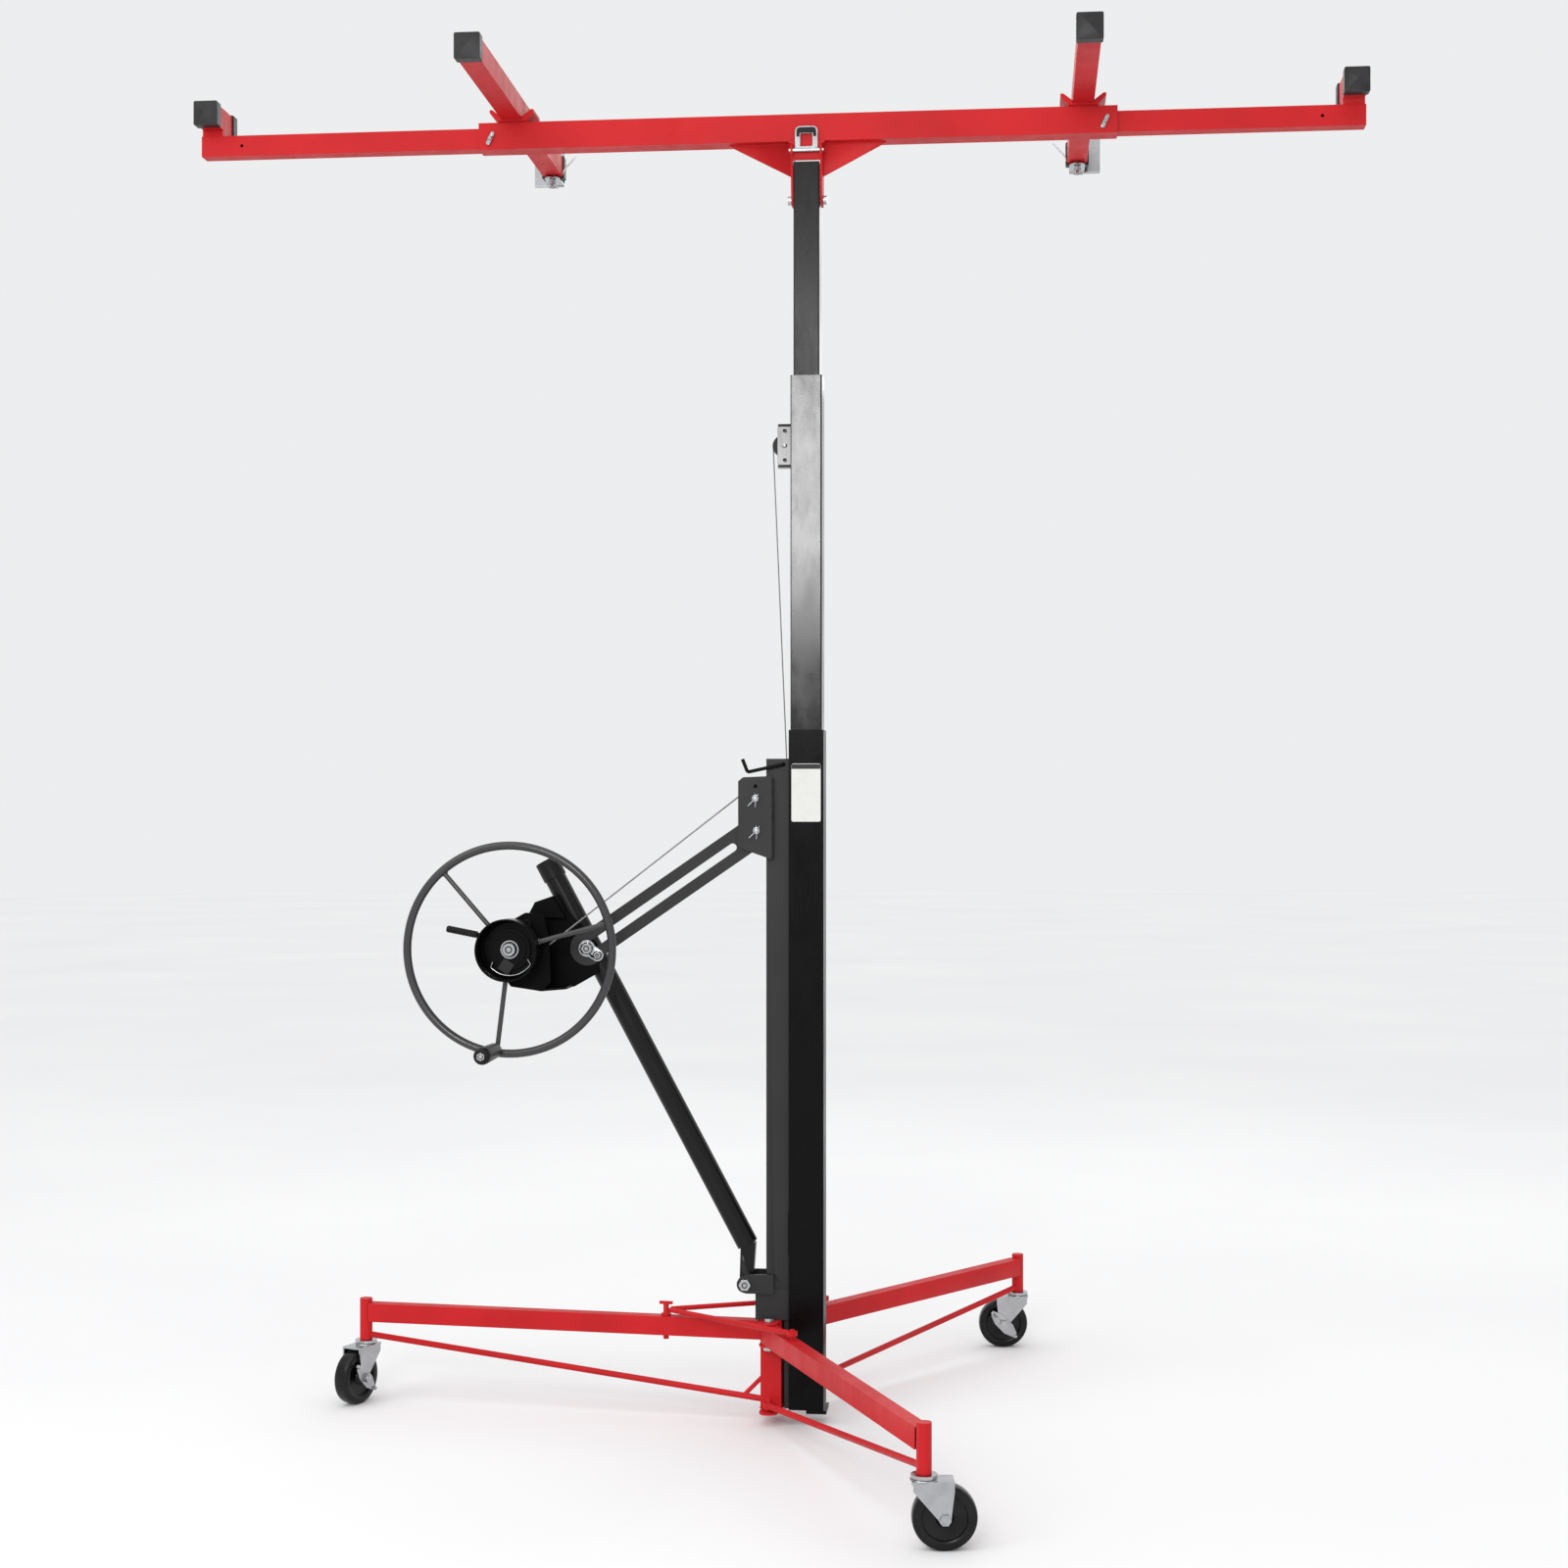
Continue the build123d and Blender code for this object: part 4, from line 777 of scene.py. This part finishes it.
profile += [(6.2, GRIP_LONG - 3), (4.6, GRIP_LONG - 0.8), (0, GRIP_LONG)]
bm = bmesh.new()
lathe(bm, knee + grip_way * 4 * MM, grip_way, mm(profile), 28)
piece("brake_lever_grip", bm, GRIP, "brake_lever_body", 40)
bm = bmesh.new()
washer(bm, eye - ALONG_Y * 3.1 * MM, -ALONG_Y, 2 * MM, 8 * MM, 0.9 * MM)
hexagon(bm, eye - ALONG_Y * 4 * MM, -ALONG_Y, 10 * MM, 3 * MM)
piece("brake_lever_nut", bm, BLACK, "winch_strut", 30)


# ---- casters: a tyre with dished sides, the raceways over the fork and the ends of the axle
HALF_TYRE = [(5.06, -16), (9, -16), (10, -15.2), (12.4, -12), (14, -9.6), (20, -8.4), (31, -8.2), (33.4, -9),
             (34.6, -12.6), (36.5, -13.8), (38.6, -14), (44.5, -14), (47.4, -12.6), (48.7, -9.5), (49, -5)]
RACEWAYS = ((102.0, 21.4), (107.2, 19.8))    # level and radius in mm
# the level of a dark washer of painted shade in the gap between the raceways
RACEWAY_SHADE_Z = 105.6 * MM
NUT_FOOT, NUT_FOOT_OVER_PEDAL, AXLE_NUT = 20 * MM, 23.3 * MM, 6 * MM


def caster(name):
    swivel, hub = pivot(f"caster_{name}_swivel_turn"), pivot(f"caster_{name}_roll")
    turn = axis(f"caster_{name}_roll")
    wheel_body, fork_body = f"caster_{name}_wheel", f"caster_{name}_swivel"
    bm = bmesh.new()
    lathe(bm, hub, turn, mm(HALF_TYRE + mirrored(HALF_TYRE)), 96, True)
    piece(f"caster_wheel_{name}.detail", bm, TYRE, wheel_body, 32, (f"caster_wheel_{name}",))
    for level, rim in RACEWAYS:
        rolled = [(rim - 14, 0), (rim - 1.2, 0), (rim - 0.2, 0.9), (rim, 2.2), (rim - 0.8, 3.4),
                  (rim - 3, 4.1), (rim - 14, 4.1)]
        bm = bmesh.new()
        lathe(bm, Vector((swivel.x, swivel.y, level * MM)), UP, mm(rolled), 64, True)
        piece(f"caster_{name}_raceway_{int(level)}", bm, ZINC, fork_body, 32)
    # a dark washer in the gap between the raceways: painted shade
    bm = bmesh.new()
    washer(bm, Vector((swivel.x, swivel.y, RACEWAY_SHADE_Z)), UP, 8 * MM, 17.6 * MM, 2.2 * MM)
    piece(f"caster_{name}_raceway_gap_shade", bm, GRIP, fork_body, 32)
    bm = bmesh.new()
    for way in (-1, 1):
        on_pedal = way > 0 and f"brake_pedal_{name}" in NODES
        if not on_pedal:
            washer(bm, hub + turn * way * 20.05 * MM, turn * way, 7.6 * MM, 9.2 * MM, 0.8 * MM)
        nut_end = (NUT_FOOT_OVER_PEDAL if on_pedal else NUT_FOOT) + AXLE_NUT
        screw_end(bm, hub + turn * way * nut_end, turn * way, 4.2 * MM, 0.7 * MM)
    piece(f"caster_{name}_axle_ends", bm, ZINC, fork_body, 32)


for caster_name in ("left", "front", "rear"):
    caster(caster_name)


# ---- cross arm pivots: bolt, nut and coil spring inside the tube
BOLT_R = 4.9
for side in SIDES:
    spot = pivot(f"cross_arm_{side}_swing")
    low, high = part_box(f"arm_pivot_{side}")
    top = Vector((spot.x, spot.y, high.z))
    shank = (high.z - low.z) / MM - 9
    profile = [(0, 0), (6, 0), (9.4, 1.2), (10, 2.4), (10, 3.4), (BOLT_R, 3.4), (BOLT_R, shank), (0, shank)]
    bm = bmesh.new()
    lathe(bm, Vector((spot.x, spot.y, low.z)), UP, mm(profile), 32)
    screw_end(bm, top - UP * 9.2 * MM, UP, BOLT_R * MM, 8.6 * MM)
    hexagon(bm, top - UP * 7 * MM, UP, 16 * MM, 6 * MM)
    tube(bm, helix(top - UP * 28 * MM, UP, 6.9 * MM, 20.6 * MM, 5), 1.0 * MM, 8)
    piece(f"arm_pivot_{side}.detail", bm, ZINC, f"cross_arm_{side}_body", 32, (f"arm_pivot_{side}",))

# ---- panel hooks: coil spring and split pin under the strap, rolled lip, stay wire on the arm
LIP_Z, LIP_R = 2325.4 * MM, 2.2 * MM
STAY = ((21, 2334), (21.5, 2340), (46, 2368))    # inwards from the bolt and up, in mm
for side, outward in (("left", -1), ("right", 1)):
    spot = pivot(f"panel_hook_{side}_swing")
    low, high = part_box(f"panel_hook_{side}")
    under = Vector((spot.x, spot.y, low.z))
    bm = bmesh.new()
    tube(bm, helix(under + UP * 8.6 * MM, UP, 6.2 * MM, 7.4 * MM, 3.5), 1.0 * MM, 8)
    washer(bm, under + UP * 8 * MM, UP, 4.1 * MM, 8.6 * MM, 1.2 * MM)
    for way in (-1, 1):
        leg = [under + Vector((-7 * MM, 0, 1.6 * MM)), under + Vector((6 * MM, 0, 1.6 * MM)),
               under + Vector((10 * MM, way * 5 * MM, 1.4 * MM))]
        tube(bm, rounded(leg, 3 * MM), 0.9 * MM, 8)
    lip = [Vector((spot.x + outward * along * MM, high.y - 1.7 * MM, LIP_Z)) for along in (-14, 44)]
    tube(bm, lip, LIP_R, 12)
    piece(f"panel_hook_{side}_spring", bm, ZINC, f"panel_hook_{side}_body", 32)
    stay = [Vector((spot.x - outward * inward * MM, spot.y - 4 * MM, z * MM)) for inward, z in STAY]
    bm = bmesh.new()
    tube(bm, rounded(stay, 4 * MM), 1.6 * MM, 10)
    piece(f"panel_hook_{side}_stay_wire", bm, ZINC, f"cross_arm_{side}_body", 40)

# ---- end caps: a moulding dot on each pyramid
DOT = mm([(0, 0), (1.8, 0), (2.6, 0.6), (2.8, 2.4), (0, 2.4)])
for node in [f"{kind}_caps_{side}" for kind in ("extension", "cross_arm") for side in SIDES]:
    low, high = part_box(node)
    bm = bmesh.new()
    for y, way in ((low.y, 1), (high.y, -1)):
        lathe(bm, at_y((low + high) / 2, y + way * 0.3 * MM), ALONG_Y * way, DOT, 20)
    piece(f"{node}_dots", bm, PLASTIC, BODIES[node], 32)

# ---- tilt latch: painted shade on its top bar and the upper ends of its legs, as a thin dark sheet
SHADE_HALF, SHADE_CORNER, SHADE_LEG, SHADE_THICK = 17.6 * MM, 6.5 * MM, 5.4 * MM, 1.7 * MM
latch_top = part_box("tilt_latch")[1].z
shade_top, shade_bar, shade_foot = (latch_top - below * MM for below in (2.4, 12.2, 18.5))
outline = [(-SHADE_HALF, shade_foot)]
for way, start in ((-1, 180), (1, 90)):
    for i in range(7):
        turn = radians(start - 15 * i)
        outline.append((way * (SHADE_HALF - SHADE_CORNER) + SHADE_CORNER * cos(turn),
                        shade_top - SHADE_CORNER + SHADE_CORNER * sin(turn)))
outline += [(SHADE_HALF, shade_foot), (SHADE_HALF - SHADE_LEG, shade_foot), (SHADE_HALF - SHADE_LEG, shade_bar),
            (SHADE_LEG - SHADE_HALF, shade_bar), (SHADE_LEG - SHADE_HALF, shade_foot)]
shade_y = pivot("tilt_latch_swing").y + 1 * MM - SHADE_THICK
bm = bmesh.new()
upright_plate(bm, outline, Vector((0, shade_y, 0)), SHADE_THICK)
# the thin dark sheet of painted shade over the latch's top bar
soften(piece("tilt_latch_top_shade", bm, GRIP, "tilt_latch_body", 30), 0.6 * MM)

# ---- mast: a blank sticker with rounded corners and a plain dark band
STICKER_WIDE, STICKER_TALL, STICKER_CORNER = 52 * MM, 103 * MM, 3 * MM
STICKER_BELOW_TOP = 60 * MM
outer_low, outer_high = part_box("outer_mast_tube")
outline = []
for u, v, start in ((1, 1, 0), (-1, 1, 90), (-1, -1, 180), (1, -1, 270)):
    for i in range(5):
        turn = radians(start + 90 * i / 4)
        outline.append((u * (STICKER_WIDE / 2 - STICKER_CORNER) + STICKER_CORNER * cos(turn),
                        v * (STICKER_TALL / 2 - STICKER_CORNER) + STICKER_CORNER * sin(turn)))
centre = Vector((0, outer_low.y - 0.25 * MM, outer_high.z - STICKER_BELOW_TOP - STICKER_TALL / 2))
bm = bmesh.new()
upright_plate(bm, outline, centre, 0.3 * MM)
piece("mast_sticker", bm, LABEL, "base")
bm = bmesh.new()
upright_plate(bm, mm(rectangle(-25.7, 25.7, 42, 50.6)), centre - ALONG_Y * 0.12 * MM, 0.2 * MM)
piece("mast_sticker_band", bm, CHARCOAL, "base")

# ---- winch bracket: eyelets, the shadows round its nuts, painted shade along its seam, welds and split pins
EYELET = mm([(1.6, 0), (3.6, 0), (3.4, 0.7), (2.4, 1.0), (1.6, 0.6)])
EYELET_X, EYELET_Z = -90 * MM, 1134 * MM
bracket_low, bracket_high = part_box("winch_bracket")
bm = bmesh.new()
for y, way in ((bracket_low.y, -1), (bracket_high.y, 1)):
    lathe(bm, Vector((EYELET_X, y, EYELET_Z)), ALONG_Y * way, EYELET, 24, True)
piece("bracket_eyelets", bm, BLACK, "base", 40)
SHADE_RING_WIDE = 1.8
keeper_low, keeper_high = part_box("arm_retainer")
keeper_face = keeper_high.y - 2.5 * MM
keeper_nut = Vector((keeper_low.x + 15 * MM, 0, keeper_high.z - 15 * MM))
keeper_bolt = keeper_nut + Vector((19 * MM, 0, -12 * MM))
KEEPER = (("nut", keeper_nut, 9.6, 11.2, 3.6, 5.5), ("bolt", keeper_bolt, 6.4, 7.9, 1.6, 3.5))
# painted shade rings at the feet of the keeper's nut and bolt, and in the gaps round their ends
for name, spot, foot_shade, flat, gap_shade, tall in KEEPER:
    painted_shade_ring(f"keeper_{name}_foot", at_y(spot, keeper_face), -ALONG_Y, foot_shade * MM, flat * MM, "winch_strut")
    painted_shade_ring(f"keeper_{name}_gap", at_y(spot, keeper_face - tall * MM), -ALONG_Y, gap_shade * MM,
              (gap_shade + SHADE_RING_WIDE) * MM, "winch_strut")
CLEVIS_BOLT_Y = -38 * MM
# a dark ring of painted shade round the clevis bolt's end
painted_shade_ring("clevis_bolt_gap_shade", at_y(pivot("strut_fold"), CLEVIS_BOLT_Y), -ALONG_Y, 3.4 * MM, 5.2 * MM, "base")
# a thin dark strip on the upright beside the bracket's edge: painted shade along the seam
seam_shade_spot = Vector((bracket_high.x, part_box("mast_upright")[0].y - 0.25 * MM, 0))
bm = bmesh.new()
upright_plate(bm, mm(rectangle(0, 2.4, 1005, 1150)), seam_shade_spot, 0.5 * MM)
piece("bracket_seam_shade", bm, GRIP, "base", 30)
BRACKET_WELD_X, BRACKET_WELD_LEVELS = -61.4 * MM, (1144, 1078, 1012)
for z in BRACKET_WELD_LEVELS:
    bead = [Vector((BRACKET_WELD_X, bracket_low.y + 0.8 * MM, (z + step) * MM)) for step in (-5, 5)]
    weld(f"bracket_weld_{z}", bead, 1.9 * MM, CHARCOAL, "base")
PIN_HEAD = mm([(0, 0), (5.0, 0), (5.3, 1.0), (4.7, 2.4), (3.0, 3.6), (0, 4.1)])
PIN_LEGS = (((0, 9), (0, 0), (-13, -13)), ((5, 8), (1, 0), (0, -15)))
bm = bmesh.new()
for spot in (bracket_axle, pivot("slotted_arm_swing")):
    head = at_y(spot, bracket_low.y)
    lathe(bm, head - ALONG_Y * 4.2 * MM, -ALONG_Y, PIN_HEAD, 32)
    for legs in PIN_LEGS:
        bent = [head + Vector((u * MM, -3.2 * MM, v * MM)) for u, v in legs]
        tube(bm, rounded(bent, 4 * MM), 1.1 * MM, 10)
piece("bracket_split_pins", bm, ZINC, "base", 40)

# ---- stage pulley bracket: dark ends, two holes with bright rings, painted shade as a dark disc in each hole, and the axle's rivet on each side
HOLE_SHADE = mm([(0, 0.1), (2.9, 0.1), (3.2, 0)])
HOLE_RING_R = 3.3 * MM
HOLE_LEVELS = (1716 * MM, 1768 * MM)
RIVET = mm([(0, 0), (3.9, 0), (3.7, 1.2), (2.4, 2.0), (0, 2.3)])
END_STRIP = mm(rectangle(-11, 11, -2, 2))
END_INWARD = 2.2 * MM
guide_low, guide_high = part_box("stage_pulley_bracket")
guide_x = stage_axle.x + 3 * MM
guide_middle = (guide_low.x + guide_high.x) / 2
ends, hole_shades, rivets = bmesh.new(), bmesh.new(), bmesh.new()
for way in (-1, 1):
    face_y = guide_high.y if way > 0 else guide_low.y
    for z in HOLE_LEVELS:
        spot = Vector((guide_x, face_y, z))
        # each hole: a dark disc of painted shade
        lathe(hole_shades, spot, ALONG_Y * way, HOLE_SHADE, 24)
        tube(rivets, circle(spot, ALONG_X, UP, HOLE_RING_R, 24), 0.5 * MM, 6, True)
    lathe(rivets, Vector((guide_x, face_y - way * 0.2 * MM, stage_axle.z)), ALONG_Y * way, RIVET, 24)
    for z in (guide_low.z + END_INWARD, guide_high.z - END_INWARD):
        plate(ends, END_STRIP, Vector((guide_middle, face_y, z)), ALONG_X, UP, ALONG_Y * way, 0.3 * MM)
piece("pulley_bracket_ends", ends, GRIP, "mast_stage_1", 30)
piece("pulley_bracket_hole_shades", hole_shades, GRIP, "mast_stage_1", 30)
piece("pulley_bracket_rivets", rivets, ZINC, "mast_stage_1", 40)

# ---- cradle: the plate between the ears, just above the inner tube
tube_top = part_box("inner_mast_tube")[1].z
bm = bmesh.new()
upright_plate(bm, mm(rectangle(-23.9, 23.9, 2.6, 22)), Vector((0, -21 * MM, tube_top)), 2 * MM)
soften(piece("ear_cross_plate", bm, RED, "cradle", 30), 0.4 * MM)


# ---- weld beads: gussets, end supports, base post, socket sleeve, foot of the upright
GUSSET_INNER, GUSSET_OUTER = 30 * MM, 136 * MM
bar_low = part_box("crossbar")[0]
for way in (-1, 1):
    for y in (-2.8 * MM, 2.8 * MM):
        start = Vector((way * GUSSET_INNER, y, bar_low.z - 0.6 * MM))
        bead = [start, Vector((way * GUSSET_OUTER, y, start.z))]
        weld(f"gusset_weld_{way % 3}_{int(y > 0)}", bead, 1.6 * MM, RED, "cradle")
SUPPORT_FOOT_Z = 2320.8 * MM
for side, inward in (("left", 1), ("right", -1)):
    low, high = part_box(f"extension_{side}")
    end = low.x if side == "left" else high.x
    middle = end + inward * 21 * MM
    for y in (-15.4 * MM, 15.4 * MM):
        bead = [Vector((middle - 18 * MM, y * 0.99, SUPPORT_FOOT_Z)),
                Vector((middle + 18 * MM, y * 0.99, SUPPORT_FOOT_Z))]
        weld(f"support_weld_{side}_{int(y > 0)}", bead, 1.3 * MM, RED, f"extension_{side}_body")
POST_HALF, POST_TURN, POST_WELD_LEVELS = 19.4 * MM, radians(-6), (185.3, 26.7)
post_low, post_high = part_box("base_post")
post_x = (post_low.x + post_high.x) / 2
round_post = [Matrix.Rotation(POST_TURN, 3, "Z") @ Vector((u * POST_HALF, v * POST_HALF, 0))
              for u, v in CORNERS + CORNERS[:1]]
for z in POST_WELD_LEVELS:
    bead = [Vector((post_x, 0, z * MM)) + corner for corner in round_post]
    weld(f"post_weld_{int(z)}", bead, 1.6 * MM, RED, "base")
SLEEVE_X, SLEEVE_HALF, SLEEVE_TOP = -71.5 * MM, 20.2 * MM, 240.6 * MM
sleeve_bead = [Vector((SLEEVE_X, y, SLEEVE_TOP)) for y in (-SLEEVE_HALF, SLEEVE_HALF)]
weld("sleeve_weld", sleeve_bead, 1.8 * MM, BLACK, "base")
UPRIGHT_WELD_X, UPRIGHT_WELD_ENDS = -31.6 * MM, (0.3, 0.38)
for y in (-20.4 * MM, 20.4 * MM):
    bead = [Vector((UPRIGHT_WELD_X, y, z)) for z in UPRIGHT_WELD_ENDS]
    weld(f"upright_weld_{int(y > 0)}", bead, 1.7 * MM, BLACK, "base")

# ---- floor, light, camera
FLOOR_R = 30
bm = bmesh.new()
bmesh.ops.create_circle(bm, cap_ends=True, radius=FLOOR_R, segments=96)
floor = piece("studio_floor", bm, floor_paint("pale_floor"), None)

world = bpy.data.worlds.new("studio")
bpy.context.scene.world = world
world.use_nodes = True
background = world.node_tree.nodes["Background"]
background.inputs["Color"].default_value = (0.985, 0.99, 1, 1)
background.inputs["Strength"].default_value = 0.86

sun_data = bpy.data.lights.new("soft_sun", "SUN")
sun_data.energy = 0.8
sun_data.angle = radians(60)
sun = bpy.data.objects.new("soft_sun", sun_data)
sun.rotation_euler = (radians(22), radians(-14), 0)
bpy.context.scene.collection.objects.link(sun)


def area_light(name, place, aim, size, power):
    data = bpy.data.lights.new(name, "AREA")
    data.shape = "RECTANGLE"
    data.size, data.size_y = size
    data.energy = power
    light = bpy.data.objects.new(name, data)
    light.location = place
    light.rotation_euler = (Vector(aim) - Vector(place)).to_track_quat("-Z", "Y").to_euler()
    bpy.context.scene.collection.objects.link(light)


area_light("key_softbox", (-3.2, -3.4, 3.6), (0, 0, 1.4), (2.4, 2.4), 30)
area_light("front_panel", (-0.42, -4.9, 2.42), (0, 0, 1.6), (1.3, 1.1), 72)
area_light("back_softbox", (0.6, 3.8, 3.4), (0, 0, 1.5), (3.0, 1.8), 20)

YAW = radians(5.5)
STAND_BACK, EYE_HEIGHT, ASIDE = 4.2, 1.085, -0.042
FOCAL_MM, SHIFT_UP = 54, 0.019
right = Vector((cos(YAW), sin(YAW), 0))
ahead = Vector((-sin(YAW), cos(YAW), 0))
lens = bpy.data.cameras.new("camera")
lens.lens = FOCAL_MM
lens.shift_y = SHIFT_UP
camera = bpy.data.objects.new("camera", lens)
camera.location = right * ASIDE - ahead * STAND_BACK + UP * EYE_HEIGHT
camera.rotation_euler = (pi / 2, 0, YAW)
bpy.context.scene.collection.objects.link(camera)
bpy.context.scene.camera = camera
bpy.context.scene.view_settings.view_transform = "Standard"
